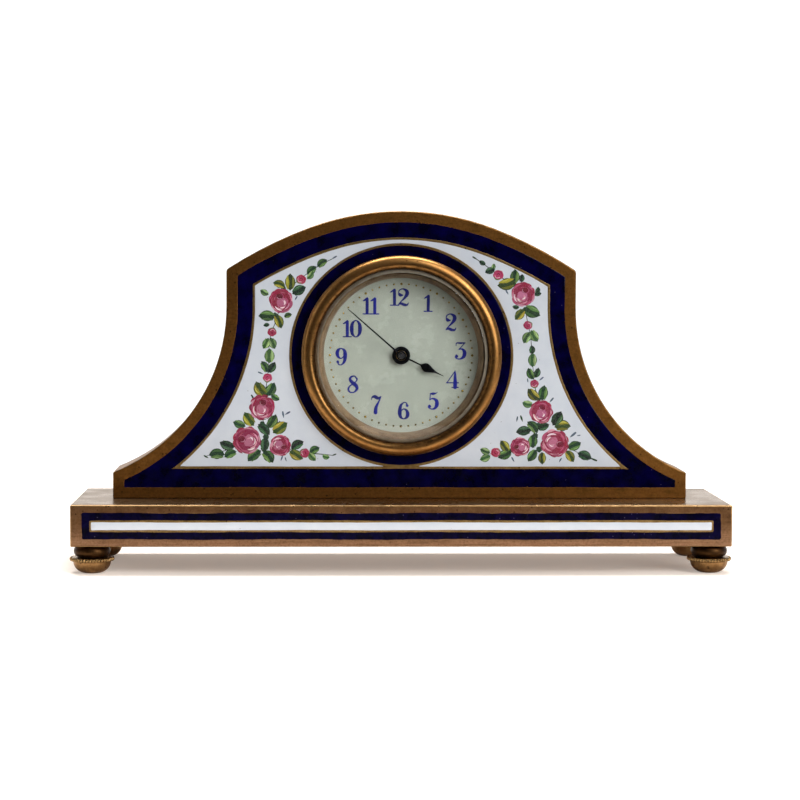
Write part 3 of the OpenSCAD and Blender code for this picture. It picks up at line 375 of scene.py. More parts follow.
def clear_glass():
    """Bevelled glass with faint wipe marks, which lets the lamps reach the dial."""
    finish = Finish("clear_glass")
    finish.set(Base_Color=(0.97, 0.985, 0.98, 1), Transmission_Weight=1.0, IOR=1.5)
    wipes = finish.noise(1000, 3.0, 0.6, finish.stretched(500, 500, 90, (0, 0.6, 0)))
    finish.set(Roughness=finish.ramp(wipes, 0.45, 0.8, 0.0, 0.03))
    finish.show(finish.node("ShaderNodeMixShader", "Shader", {
        "Fac": finish.node("ShaderNodeLightPath", "Is Shadow Ray"),
        1: finish.shader.outputs["BSDF"], 2: finish.node("ShaderNodeBsdfTransparent", "BSDF"),
    }))
    return finish.material


def painted_bevel_reflection():
    """Bevel of the glass: grey, partly clear colour painted for the reflection and refraction that the bevel
    shows.
    """
    finish = Finish("painted_bevel_reflection")
    clouds = finish.clouds(1.2)
    finish.set(Base_Color=finish.mix(clouds, srgb(168, 160, 144), srgb(142, 134, 118)))
    finish.set(Roughness=finish.ramp(clouds, 0.0, 1.0, 0.16, 0.24), Transmission_Weight=0.4, IOR=1.5)
    return finish.material


def paint(name, rough, thin):
    """Painted colour, kept stroke by stroke in the mesh, with the drag of a fine brush."""
    finish = Finish(name)
    stored = finish.node("ShaderNodeVertexColor", "Color", layer_name="paint")
    drag = finish.ramp(finish.noise(0.16, 3.0, 0.6), 0.35, 0.75, 0.0, thin)
    finish.set(Base_Color=finish.mix(drag, stored, (0.9, 0.9, 0.92, 1)), Roughness=rough)
    finish.set(IOR=1.5, Specular_IOR_Level=0.3)
    finish.bump(finish.noise(0.2, 2.0), 0.004)
    return finish.material


def ruby_glass():
    finish = Finish("ruby")
    depth = finish.ramp(finish.noise(0.5, 2.0), 0.3, 0.7)
    finish.set(Base_Color=finish.mix(depth, srgb(150, 10, 40), srgb(205, 30, 80)))
    finish.set(Roughness=finish.ramp(depth, 0.0, 1.0, 0.05, 0.12), IOR=1.76, Transmission_Weight=0.35)
    return finish.material


def plaster_floor():
    """White floor that keeps the clock's shadow and is pure white away from it."""
    finish = Finish("white_floor")
    finish.set(Base_Color=(0.88, 0.8, 0.725, 1), Roughness=0.9, Specular_IOR_Level=0.0)
    width, depth = FLOOR_REACH
    share = finish.node("ShaderNodeMapping", "Vector", {
        "Vector": finish.place, "Scale": (1 / width, 1 / depth, 1.0),
        "Location": (0.0, -FLOOR_MIDDLE / depth, 0.0),
    })
    reach = finish.node("ShaderNodeVectorMath", "Value", {0: share}, operation="LENGTH")
    level = finish.ramp(reach, *GLOW_REACH, *GLOW_LEVEL)
    seen = finish.node("ShaderNodeLightPath", "Is Camera Ray")
    glow = finish.node("ShaderNodeEmission", "Emission", {
        "Strength": finish.times(seen, level), "Color": finish.mix(level, (1.0, 0.85, 0.72, 1), (1, 1, 1, 1)),
    })
    finish.show(finish.node("ShaderNodeAddShader", 0, {0: finish.shader.outputs["BSDF"], 1: glow}))
    return finish.material


# Gilt metals: a bright, a brown and a dark tone, the range of roughness and the size of a patch
GILT = gilt_metal("aged_gilt", (160, 116, 66), (132, 93, 50), (74, 50, 24), (0.34, 0.5), 6.0)
# Darker gilt for the case's front: partly aged gilding, partly painted shade for the dark room that the front
# reflects
GILT_FRONT_SHADED = gilt_metal(
    "gilt_front_painted_shade", (160, 109, 53), (104, 70, 30), (52, 36, 15), (0.36, 0.5), 2.6, grain=(260, 300, 2600),
)
GILT_LINE = gilt_metal("gilt_line", (168, 138, 88), (122, 96, 56), (54, 40, 20), (0.36, 0.52), 2.0)
# Plinth gilt: lighter and pinker from 9.8 mm down to 6.2 mm above the floor, a painted reflection of the
# floor
GILT_PLINTH = gilt_metal(
    "gilt_plinth", (136, 100, 68), (90, 63, 41), (54, 38, 23), (0.34, 0.48), 2.2,
    grain=(150, 300, 3000), painted_light_ramp=(height_above_floor, 9.8, 6.2, (172, 132, 102)),
)
# Lighter gilt for the plinth's top faces: painted light from above and from the bright room behind
GILT_TOP_PAINTED_LIGHT = gilt_metal(
    "gilt_top_painted_light", (168, 140, 108), (144, 117, 86), (90, 68, 44), (0.24, 0.34), 5.0,
    grain=(150, 300, 3000), relief=0.006,
)
# Bezel gilt: darker from 18.3 mm in to 17.1 mm from the dial's axis, painted shade on the rim's inner slope
GILT_BEZEL = gilt_metal(
    "gilt_bezel", (186, 136, 78), (152, 107, 58), (112, 76, 40), (0.32, 0.4), 3.4,
    grain=(900, 900, 1900), relief=0.006, painted_light_ramp=(way_from_glass, 18.3, 17.1, (60, 40, 19)),
)
GILT_RUBBED = gilt_metal("gilt_rubbed", (172, 138, 94), (138, 104, 64), (82, 58, 34), (0.26, 0.4), 1.6)
GILT_DIRT = gilt_metal("gilt_dirt", (96, 66, 34), (60, 40, 20), (26, 18, 10), (0.5, 0.7), 1.2)
GILT_FOOT = gilt_metal("gilt_foot", (170, 130, 84), (120, 88, 52), (54, 38, 22), (0.34, 0.48), 1.5)
# Near-black gilt for the feet's collars: painted shade under the plinth
GILT_NECK_SHADED = gilt_metal("gilt_neck_painted_shade", (72, 49, 27), (46, 30, 16), (20, 13, 8), (0.36, 0.5), 1.2)
GILT_BEAD = gilt_metal("gilt_bead", (206, 168, 112), (66, 45, 25), (20, 14, 8), (0.2, 0.3), 0.34)
GILT_DOT = gilt_metal("gilt_dot", (232, 206, 130), (150, 118, 56), (60, 46, 22), (0.16, 0.26), 0.5)
SIGHT = dull_metal("sight_ring_brown", (140, 114, 84), (106, 82, 56))
# Enamels: a deep and a light tone, the specks' tone, the range of roughness, the size of a cloud, and
# the spacing and size of specks
COBALT = enamel(
    "cobalt_enamel", (1, 0, 20), (4, 1, 56), (90, 84, 110), (0.1, 0.2), 2.6, (1.9, 0.035), gloss=0.14,
)
STRIPE_BLUE_GLASS = enamel(
    "stripe_blue_enamel", (2, 1, 16), (6, 3, 44), (90, 84, 110), (0.2, 0.35), 1.6, (1.4, 0.05), gloss=0.05,
)
WHITE = enamel(
    "white_enamel", (212, 220, 231), (220, 227, 236), (120, 116, 120), (0.12, 0.22), 4.0, (2.1, 0.028),
)
# Dial enamel greyer than the case's white: painted shade for the glass and bezel over it
DIAL_WHITE_SHADED = enamel(
    "dial_enamel", (160, 166, 155), (170, 175, 164), (130, 128, 114), (0.2, 0.3), 5.0, (2.6, 0.02), 0.003,
)
MOVEMENT = polished_metal("movement_brass", (232, 196, 122), (190, 148, 82), (0.2, 0.34), (400, 400, 5000))
STEEL = polished_metal("polished_steel", (198, 200, 206), (150, 152, 160), (0.12, 0.26), (700, 700, 2000))
DARK_STEEL = polished_metal("blued_steel", (24, 25, 30), (12, 12, 16), (0.26, 0.4), (900, 900, 900))
BLUED = polished_metal("spring_blue", (40, 52, 120), (24, 30, 80), (0.16, 0.3), (900, 900, 900))
STRIPED = striped_brass()
GRAINED = grained_brass()
CLEAR = clear_glass()
BEVEL_REFLECTION_PAINT = painted_bevel_reflection()
RUBY = ruby_glass()
PAINT = paint("rose_paint", 0.22, 0.08)
DIAL_BLUE = paint("numeral_paint", 0.3, 0.02)


# Meshes


def new_piece(name, mesh, *materials):
    """Object at the origin that holds a mesh, with its materials in order."""
    piece = bpy.data.objects.new(name, mesh)
    bpy.context.scene.collection.objects.link(piece)
    if materials:
        mesh.materials.clear()
    for material in materials:
        mesh.materials.append(material)
    return piece


def belongs(piece, body, slot, *nodes):
    """Fixes a piece to its body and hides the nodes that it stands for; the slot is not used."""
    if nodes:
        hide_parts(*nodes)
    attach(piece, body)
    return piece


def finished(piece):
    """Applies a piece's modifiers, so that its shape is a plain mesh."""
    bpy.context.view_layer.update()
    graph = bpy.context.evaluated_depsgraph_get()
    mesh = bpy.data.meshes.new_from_object(piece.evaluated_get(graph), depsgraph=graph)
    piece.modifiers.clear()
    piece.data = mesh
    return piece


def mesh_from(work, name, crease=None):
    """Mesh of finished work, with creases where faces turn by more than an angle, if one is given."""
    mesh = bpy.data.meshes.new(name)
    work.to_mesh(mesh)
    work.free()
    if crease:
        mesh.set_sharp_from_angle(angle=math.radians(crease))
    return mesh


def tube(work, rings, around=False, capped=False):
    """Smooth sides through rings of vertices, round to the first ring again or capped at both ends."""
    faces = []
    for first, second in zip(rings, rings[1:] + rings[:1] if around else rings[1:]):
        for k in range(len(first)):
            n = (k + 1) % len(first)
            faces.append(work.faces.new((first[k], first[n], second[n], second[k])))
            faces[-1].smooth = True
    if capped:
        faces += [work.faces.new(rings[0][::-1]), work.faces.new(rings[-1])]
    return faces


def soften(piece, width, segments, edge_slot):
    """Rounds a piece's edges by a width in millimetres and shades its flats flat."""
    edge = piece.modifiers.new("edge", "BEVEL")
    edge.width = width * MM
    edge.segments = segments
    edge.limit_method = "ANGLE"
    edge.angle_limit = math.radians(CREASE)
    edge.use_clamp_overlap = False
    edge.miter_outer = "MITER_ARC"
    edge.material = edge_slot
    shade = piece.modifiers.new("shade", "WEIGHTED_NORMAL")
    shade.keep_sharp = True
    return finished(piece)


def true_faces(mesh):
    """Whether the triangles of every large face cover just that face."""
    mesh.calc_loop_triangles()
    covered = [0.0] * len(mesh.polygons)
    for triangle in mesh.loop_triangles:
        covered[triangle.polygon_index] += triangle.area
    return all(abs(covered[face.index] - face.area) <= 0.002 * face.area + 1e-10 for face in mesh.polygons)


def clean_copy(node, flats=True):
    """Copy of a node's mesh with its loose triangles joined, and its flats made whole if that holds."""
    mesh = frame["nodes"][node].data.copy()
    work = bmesh.new()
    work.from_mesh(mesh)
    bmesh.ops.remove_doubles(work, verts=work.verts, dist=LOOSE_GAP * MM)
    if flats:
        bmesh.ops.dissolve_limit(
            work, angle_limit=math.radians(0.1), verts=work.verts, edges=work.edges, delimit={"NORMAL"},
        )
    work.to_mesh(mesh)
    work.free()
    mesh.name = node + "_finished"
    return clean_copy(node, False) if flats and not true_faces(mesh) else mesh


def dressed(node, slot, width, *materials, segments=2):
    """A node's own shape with softened edges; a second material, if given, lies on the edges."""
    mesh = clean_copy(node)
    mesh.shade_smooth()
    mesh.set_sharp_from_angle(angle=math.radians(CREASE))
    piece = new_piece(node + "_finished", mesh, *materials)
    soften(piece, width, segments, 1 if len(materials) > 1 else -1)
    return belongs(piece, BODY_OF[node], slot, node)


def dress_all(*rows):
    """Dresses several nodes a row: their names, slot, width and segments of the edges, materials."""
    for names, slot, width, segments, *materials in rows:
        for node in names.split():
            dressed(node, slot, width, *materials, segments=segments)


def spread(piece, distance, proud):
    """Pushes a flat piece's outline outwards in its plane, and its front forwards, in millimetres."""
    work = bmesh.new()
    work.from_mesh(piece.data)
    front = min(vertex.co.y for vertex in work.verts)
    places = {}
    for vertex in work.verts:
        out = sum((face.normal for face in vertex.link_faces if abs(face.normal.y) < 0.5), Vector())
        out.y = 0
        step = out.normalized() * distance if out.length > 0.1 else Vector()
        forward = proud if vertex.co.y < front + 0.1 * MM else 0
        places[vertex] = vertex.co + (step - Vector((0, forward, 0))) * MM
    for vertex, place in places.items():
        vertex.co = place
    work.to_mesh(piece.data)
    work.free()


def at_case(x, z, y=0.0):
    """A place on the case's front, in metres, from its middle and foot and its depth behind the front."""
    return Vector((x, CASE_FRONT + y, CASE_FOOT + z)) * MM


def at_plinth(x, z, y=0.0):
    """A place on the plinth's front, in metres, from the origin and its depth behind the front."""
    return Vector((x, PLINTH_FRONT + y, z)) * MM


def band_of_loops(name, loops, edge_faces, materials, closed=True, crease=50):
    """Solid through loops with equal counts of points; loops in edge_faces start an edge strip."""
    work = bmesh.new()
    faces = tube(work, [[work.verts.new(point) for point in loop] for loop in loops], closed)
    for i in edge_faces:
        for face in faces[i * len(loops[0]):(i + 1) * len(loops[0])]:
            face.material_index = 1
    bmesh.ops.remove_doubles(work, verts=work.verts, dist=POLE_GAP * MM)
    bmesh.ops.recalc_face_normals(work, faces=work.faces)
    return new_piece(name, mesh_from(work, name, crease), *materials)


def arc_between(centre, radius, start, end, count):
    """Points on a circle from one angle to another, without the last; angles turn clockwise from up."""
    angles = (start + (end - start) * i / count for i in range(count))
    return [(centre[0] + radius * math.sin(a), centre[1] + radius * math.cos(a)) for a in angles]


def lathe(name, profile, materials, segments=256, crease=50, closed=True):
    """Turns a profile of radius and depth behind the case's front about the dial's axis."""
    loops = [
        [
            Vector((x, CASE_FRONT + depth, z)) * MM
            for x, z in arc_between((0, DIAL_Z), radius, 0, 2 * math.pi, segments)
        ]
        for radius, depth in profile
    ]
    return band_of_loops(name, loops, (), materials, closed, crease)


# Outlines on the case's front and the plinth's front


def steps_between(start, end, count):
    """Points on a line from one place to another, without the last."""
    return [tuple(a + (b - a) * i / count for a, b in zip(start, end)) for i in range(count)]


def half_outline(o, foot):
    """Right half of the case's outline set in by o, from the middle of its foot to its top."""
    r = FLANK_R + o
    flank_x = SHOULDER_W / 2 + FLANK_R
    flank_z = SIDE_H + math.sqrt(FLANK_R ** 2 - (flank_x - CASE_W / 2) ** 2)
    crown_z = CASE_H - CROWN_R
    arch_x = -(ARCH_R - CROWN_R) * math.sin(CROWN_ANGLE)
    arch_z = crown_z - (ARCH_R - CROWN_R) * math.cos(CROWN_ANGLE)
    side_angle = math.acos((flank_x - CASE_W / 2 + o) / r)
    foot_angle = math.asin(min(1, (flank_z - foot) / r))
    low = min(side_angle, foot_angle)
    arch, edge, bend = ARCH_R - o, SHOULDER_W / 2 - o, max(SHOULDER_ROUND - o, 0)
    top = math.asin((edge - bend - arch_x) / (arch - bend))
    start = (flank_x - r * math.cos(low), flank_z - r * math.sin(low))
    corner = (CASE_W / 2 - o, foot) if side_angle < foot_angle else start
    corner_at = (edge - bend, arch_z + (arch - bend) * math.cos(top))
    quarter = math.pi / 2
    points = steps_between((0, foot), (corner[0], foot), 40) + steps_between(corner, start, 4)
    points += arc_between((flank_x, flank_z), r, -quarter - low, -quarter, 48)
    points += arc_between(corner_at, bend, quarter, top, 6)
    points += arc_between((arch_x, arch_z), arch, top, CROWN_ANGLE, 18)
    points += arc_between((0, crown_z), CROWN_R - o, CROWN_ANGLE, 0, 18)
    return points + [(0, CASE_H - o)]


def case_outline(o, foot=None):
    """Whole outline of the case set in by o, round from the middle of its foot."""
    half = half_outline(o, o if foot is None else foot)
    return half + [(-x, z) for x, z in reversed(half[1:-1])]


def circle_outline(radius):
    return arc_between((0, DIAL_H), radius, math.pi, -math.pi, 240)


# Points on a long and on a short side of a rectangle's outline
LONG_SIDE = 150
SHORT_SIDE = 12


def stripe_outline(inset):
    """Rectangle with small round corners round the plinth's stripe, set in from its edge."""
    left, right = PLINTH_LOW.x + STRIPE_END + inset, PLINTH_HIGH.x - STRIPE_END - inset
    low, high = PLINTH_LOW.z + STRIPE_EDGE + inset, PLINTH_HIGH.z - STRIPE_EDGE - inset
    corner = 0.12
    sides = (
        ((left + corner, low), (right - corner, low)), ((right, low + corner), (right, high - corner)),
        ((right - corner, high), (left + corner, high)), ((left, high - corner), (left, low + corner)),
    )
    points = []
    for (start, end), n in zip(sides, (LONG_SIDE, SHORT_SIDE) * 2):
        points += steps_between(start, end, n) + [end]
    return points


def normals_of(points):
    """Outward direction at each point of a loop that runs anticlockwise, past points that coincide."""
    count = len(points)

    def neighbour(i, way):
        others = (points[(i + way * k) % count] for k in range(1, count))
        return next(other for other in others if math.dist(other, points[i]) >= 1e-6)

    pairs = ((neighbour(i, -1), neighbour(i, 1)) for i in range(count))
    ways = (Vector((after[0] - before[0], after[1] - before[1])).normalized() for before, after in pairs)
    return [(way.y, -way.x) for way in ways]


def moved(points, distance):
    """Loop moved outwards by a distance, or by a list of distances."""
    steps = distance if isinstance(distance, list) else [distance] * len(points)
    rows = zip(points, normals_of(points), steps)
    return [(x + nx * step, z + nz * step) for (x, z), (nx, nz), step in rows]


def hand_cut(points, amount, seed, base=0.0):
    """Loop moved outwards by base and by a small smooth wander, as a graver leaves it, from 0 to about
    the amount; a negative amount wanders inwards."""
    pick = random.Random(seed)
    total = sum(math.dist(a, b) for a, b in zip(points, points[1:] + points[:1]))
    parts = [
        (max(1, round(total / wave)), pick.uniform(0, 6.28), wave ** 0.5) for wave in (30.0, 9.0, 3.1, 1.2)
    ]
    weight = sum(part[2] for part in parts)
    steps, run = [], 0.0
    for i, point in enumerate(points):
        run += math.dist(points[i - 1], point) if i else 0.0
        value = sum(size * math.sin(6.2832 * turns * run / total + phase) for turns, phase, size in parts)
        steps.append(base + amount * (0.5 + 0.5 * value / weight))
    return moved(points, steps)


def metal_line(name, outer, inner, front, round_by=0.05, place=at_case, materials=None, slot="gilt_brass",
               foot=LINE_FOOT, nodes=()):
    """Raised band between two loops, with rounded edges, as a closed solid."""
    levels = (
        (outer, 0, foot), (outer, 0, front + round_by), (outer, -1, front), (outer, -1.8, front),
        (inner, 1.8, front), (inner, 1, front), (inner, 0, front + round_by), (inner, 0, foot),
    )
    loops = [[place(x, z, level) for x, z in moved(loop, round_by * step)] for loop, step, level in levels]
    piece = band_of_loops(name, loops, (0, 1, 5, 6), materials or (GILT_LINE, GILT_DIRT))
    return belongs(piece, "case", slot, *nodes)


def case_metal_lines():
    """Hand-cut metal between the enamel cells of the case: outer border, line round the white, ring line."""
    border = hand_cut(case_outline(BORDER_W), -0.14, 3, LINE_THIN)
    # The outer border takes the darker front gilt with its painted shade
    metal_line(
        "case_border_metal", case_outline(0.16), border, LINE_TOP, materials=(GILT_FRONT_SHADED, GILT_DIRT),
    )
    side, foot = BORDER_W + BLUE_W, BORDER_W + BLUE_FOOT
    outer = hand_cut(moved(case_outline(side, foot), -LINE_THIN), 0.1, 5)
    inner = hand_cut(case_outline(side + FILLET_W, foot + FILLET_W), -0.08, 7, LINE_THIN)
    metal_line("case_field_line", outer, inner, LINE_TOP - 0.01)
    outer = hand_cut(circle_outline(RING_R + FILLET_W - LINE_THIN), 0.08, 11)
    inner = hand_cut(circle_outline(RING_R + LINE_THIN), -0.06, 13)
    metal_line("case_ring_line", outer, inner, LINE_TOP - 0.02)


def plinth_metal_lines():
    """The stripe's two enamels, and the hand-cut metal between them."""
    white = moved(stripe_outline(STRIPE_BLUE + STRIPE_FILLET), 0.12)
    metal_line(
        "plinth_blue_enamel_finished", hand_cut(stripe_outline(-STRIPE_SPREAD), 0.24, 17), moved(white, 0.1),
        -0.03, 0.04, at_plinth, (STRIPE_BLUE_GLASS, STRIPE_BLUE_GLASS), "cobalt_enamel", 0.06,
        ("plinth_blue_enamel",),
    )
    middle = (PLINTH_LOW.z + PLINTH_HIGH.z) / 2
    spine = [(min(max(x, white[-1][0] + 1), white[LONG_SIDE][0] - 1), middle) for x, _ in white]
    levels = ((white, 0.06), (white, 0.0), (moved(white, -0.04), -0.03), (spine, -0.035))
    loops = [[at_plinth(x, z, level) for x, z in loop] for loop, level in levels]
    pane = band_of_loops("plinth_white_enamel_finished", loops, (), (WHITE,), closed=False)
    belongs(pane, "case", "white_enamel", "plinth_white_enamel")
    outer = hand_cut(stripe_outline(STRIPE_BLUE + STRIPE_THIN), 0.16, 19)
    inner = hand_cut(stripe_outline(STRIPE_BLUE + STRIPE_FILLET - STRIPE_THIN), -0.12, 23)
    metal_line("plinth_stripe_line", outer, inner, LINE_TOP - 0.01, 0.04, at_plinth, foot=0.045)


# Bezel, glass, sight ring and dial


def round_rim(inner, outer, side, height):
    """Half-round rim between two radii, its crest a little nearer to the glass, from inside to outside."""
    half, lean, count = (outer - inner) / 2, 0.16, 26
    points = []
    for i in range(count + 1):
        a = math.pi * i / count - math.pi / 2
        across = math.sin(a) - lean * math.cos(a) ** 2
        points.append((outer - half + half * across, -side - (height - side) * math.cos(a)))
    return points


def turned_parts():
    """The bezel, glass, sight ring and dial, turned finely."""
    front = 0.4 - BEZEL_H
    seat = front + GLASS_T
    hole, seat_r, out, bevel = SIGHT_R + TURNED_FIT, GLASS_R + TURNED_FIT, BEZEL_R, front + GLASS_BEVEL
    profile = [(hole, FRONT_T), (hole, seat), (seat_r, seat)] + round_rim(seat_r, out, BEZEL_SIDE, BEZEL_H)
    profile += [(out, -0.1), (out - 0.1, 0.0), (BEZEL_SLEEVE_R, 0.0), (BEZEL_SLEEVE_R, FRONT_T)]
    belongs(lathe("bezel_finished", profile, (GILT_BEZEL,)), "case", "gilt_brass", "bezel")
    flat = GLASS_R - GLASS_BEVEL
    profile = [
        (0.0001, seat), (GLASS_R - 0.05, seat), (GLASS_R, seat - 0.05), (GLASS_R, bevel + 0.05),
        (GLASS_R - 0.03, bevel - 0.02), (flat + 0.03, front + 0.02), (flat - 0.03, front), (0.0001, front),
    ]
    glass = lathe("crystal_finished", profile, (CLEAR, BEVEL_REFLECTION_PAINT), crease=25, closed=False)
    # The bevel's faces take the grey glass with its painted reflection
    for face in glass.data.polygons:
        out = Vector((face.center.x, face.center.z - DIAL_Z * MM)).length / MM
        face.material_index = 1 if out > flat and abs(face.normal.y) < 0.97 else 0
    belongs(glass, "case", "clear_glass", "crystal")
    plate_r, lip_r = DIAL_R + 0.45, DIAL_R - SIGHT_LIP
    profile = [
        (SIGHT_R, seat), (SIGHT_R, FRONT_T), (plate_r, FRONT_T), (plate_r, DIAL_DEPTH), (lip_r, DIAL_DEPTH),
        (lip_r, DIAL_DEPTH - 0.1), (SIGHT_R - 0.46, seat + 0.08), (SIGHT_R - 0.38, seat),
    ]
    belongs(lathe("sight_ring_finished", profile, (SIGHT,)), "case", "gilt_brass", "sight_ring")
    # The dial's greyer enamel carries painted shade
    dressed("dial", "dial_enamel", 0.05, DIAL_WHITE_SHADED)


# Grains that repeat in rings, grown by Geometry Nodes


def grain_ring_tree():
    """Tree that sets rounded grains on a circle round each given place; returns it and its inputs."""
    tree = bpy.data.node_groups.new("grain_rings", "GeometryNodeTree")
    kinds = {
        "Places": "Geometry", "Count": "Int", "Ring radius": "Float", "Grain": "Vector", "Fifth": "Float",
        "Turn": "Vector", "Finish": "Material",
    }
    inputs = {
        label: tree.interface.new_socket(label, in_out="INPUT", socket_type="NodeSocket" + kind).identifier
        for label, kind in kinds.items()
    }
    tree.interface.new_socket("Geometry", in_out="OUTPUT", socket_type="NodeSocketGeometry")
    given = tree.nodes.new("NodeGroupInput").outputs
    nodes = Nodes(tree)

    def add(kind, **links):
        return nodes.node(kind, 0, {name.replace("_", " "): value for name, value in links.items()})

    index = add("GeometryNodeInputIndex")
    is_fifth = nodes.math("LESS_THAN", nodes.math("MODULO", index, 5.0), 0.5)
    size = nodes.math("MULTIPLY_ADD", is_fifth, nodes.math("SUBTRACT", given["Fifth"], 1.0), 1.0)
    scale = nodes.node("ShaderNodeVectorMath", "Vector", {0: given["Grain"], 3: size}, operation="SCALE")
    angle = nodes.times(nodes.math("DIVIDE", index, given["Count"]), 2 * math.pi)
    grown = add(
        "GeometryNodeInstanceOnPoints",
        Points=add("GeometryNodeMeshCircle", Vertices=given["Count"], Radius=given["Ring radius"]),
        Instance=add("GeometryNodeMeshUVSphere", Segments=10, Rings=6, Radius=1.0), Scale=scale,
        Rotation=add("FunctionNodeEulerToRotation", Euler=add("ShaderNodeCombineXYZ", Z=angle)),
    )
    turn = add("FunctionNodeEulerToRotation", Euler=given["Turn"])
    grown = add("GeometryNodeTransform", Geometry=grown, Rotation=turn)
    grown = add("GeometryNodeInstanceOnPoints", Points=given["Places"], Instance=grown)
    grown = add("GeometryNodeRealizeInstances", Geometry=grown)
    grown = add("GeometryNodeSetShadeSmooth", Geometry=grown)
    grown = add("GeometryNodeSetMaterial", Geometry=grown, Material=given["Finish"])
    tree.links.new(grown, tree.nodes.new("NodeGroupOutput").inputs["Geometry"])
    return tree, inputs


def grain_rings(name, places, material, ring_radius, grain, **values):
    """Plain mesh of grains in rings at places, from lengths in millimetres."""
    mesh = bpy.data.meshes.new(name)
    mesh.from_pydata([place * MM for place in places], [], [])
    piece = new_piece(name, mesh)
    grow = piece.modifiers.new("grains", "NODES")
    grow.node_group = GRAIN_TREE
    values["Ring radius"] = ring_radius * MM
    values["Grain"] = [part * MM for part in grain]
    values["Finish"] = material
    for label, value in values.items():
        grow[GRAIN_INPUTS[label]] = value
    finished(piece).data.materials.clear()
    piece.data.materials.append(material)
    return piece


GRAIN_TREE, GRAIN_INPUTS = grain_ring_tree()


def joined(name, pieces):
    """One piece from several that share their first material, which are removed."""
    material = pieces[0].data.materials[0]
    work = bmesh.new()
    for piece in pieces:
        work.from_mesh(piece.data)
    mesh = mesh_from(work, name)
    for piece in pieces:
        bpy.data.objects.remove(piece)
    return new_piece(name, mesh, material)


def minute_dots():
    """Sixty small gilt domes round the dial, larger at every fifth."""
    middle = Vector((0, DIAL_FACE + 0.02, DIAL_Z))
    dots = grain_rings(
        "minute_dots", [middle], GILT_DOT, DOT_RING_R, DOT, Count=60, Fifth=1.35,
        Turn=(math.radians(90), 0, 0),
    )
    belongs(dots, "case", "gilt_brass")


def beaded_washers():
    """The washer of each foot with upright beads round its edge."""
    low, high = (corner.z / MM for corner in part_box("foot_beaded_rings"))
    middles = [place + Vector((0, 0, (low + high) / 2)) for place in FOOT_AT]
    beads = grain_rings(
        "beads", middles, GILT_BEAD, BEAD_RING_R, BEAD, Count=BEADS, Fifth=1.0, Turn=(0, 0, 0),
    )
    profile = (
        (WASHER_HOLE_R, low), (WASHER_HOLE_R, high), (WASHER_R - 0.15, high), (WASHER_R, high - 0.12),
        (WASHER_R, low + 0.12), (WASHER_R - 0.15, low),
    )
    rims = []
    for place in FOOT_AT:
        loops = [
            [
                Vector((x, y, height)) * MM
                for x, y in arc_between((place.x, place.y), radius, math.pi / 2, -1.5 * math.pi, 96)
            ]
            for radius, height in profile
        ]
        rims.append(band_of_loops("rim", loops, (), (GILT_BEAD,)))
    belongs(joined("foot_beaded_rings_finished", [beads] + rims), "case", "gilt_brass", "foot_beaded_rings")


# Painted strokes: thin raised ribbons whose colour is kept in the mesh


def curve_through(points, closed, steps):
    """Catmull-Rom curve through points of x, z and width."""
    count = len(points)
    spans = count if closed else count - 1
    pick = (lambda i: points[i % count]) if closed else (lambda i: points[max(0, min(count - 1, i))])
    curve = []
    for i in range(spans):
        a, b, c, d = (Vector(pick(i + k)) for k in (-1, 0, 1, 2))
        for k in range(steps):
            t = k / steps
            curve.append(
                0.5 * (2 * b + (c - a) * t + (2 * a - 5 * b + 4 * c - d) * t ** 2
                       + (3 * b - a - 3 * c + d) * t ** 3)
            )
    return curve if closed else curve + [Vector(points[-1])]


def round_ends(curve):
    """Adds narrowing sections before the first and after the last point of an open stroke."""
    def cap(end, inner):
        along = (end - inner).xy.normalized()
        sections = []
        for degrees in (30, 60, 84):
            a = math.radians(degrees)
            x, z = end.xy + along * (end.z / 2 * math.sin(a))
            sections.append(Vector((x, z, end.z * math.cos(a))))
        return sections
    return cap(curve[0], curve[1])[::-1] + curve + cap(curve[-1], curve[-2])


class Brush:
    """Gathers painted strokes in one mesh, each a little above the one before it."""

    def __init__(self, place, proud, step):
        self.work = bmesh.new()
        self.tint = self.work.loops.layers.float_color.new("paint")
        self.place = place
        self.height = proud
        self.step = step

    def lay(self, sections, colour, around=False):
        """Paint over sections of points of x, z and height; the next paint lies higher."""
        rings = [[self.work.verts.new(self.place(x, z, -h)) for x, z, h in section] for section in sections]
        for face in tube(self.work, rings, around, not around):
            face.smooth = True
            for loop in face.loops:
                loop[self.tint] = colour
        self.height += self.step

    def stroke(self, points, colour, closed=False, steps=5):
        """Ribbon with a low crown along points of x, z and width in millimetres."""
        curve = curve_through(points, closed, steps)
        if not closed:
            curve = round_ends(curve)
        top, count, sections = self.height, len(curve), []
        half = ((1.0, -0.01), (0.92, top * 0.7), (0.45, top))
        profile = half + tuple((-k, h) for k, h in reversed(half))
        for i, point in enumerate(curve):
            before = curve[i - 1] if closed or i else point
            after = curve[(i + 1) % count] if closed or i < count - 1 else point
            along = (after - before).xy.normalized()
            side = Vector((-along.y, along.x)) * max(point.z, 0.004) / 2
            sections.append([(point.x + side.x * k, point.y + side.y * k, h) for k, h in profile])
        self.lay(sections, colour, closed)

    def patch(self, outline, colour):
        """Flat patch of paint inside a loop of x and z, crowned a little towards its middle."""
        top = self.height
        across, up = (sum(parts) / len(outline) for parts in zip(*outline))
        self.lay([
            [(across + (x - across) * share, up + (z - up) * share, height) for x, z in outline]
            for share, height in ((1.0, -0.01), (0.96, top * 0.7), (0.8, top), (0.4, top))
        ], colour)

    def piece(self, name, material):
        bmesh.ops.recalc_face_normals(self.work, faces=self.work.faces)
        return new_piece(name, mesh_from(self.work, name, 60), material)


# Numerals of the dial

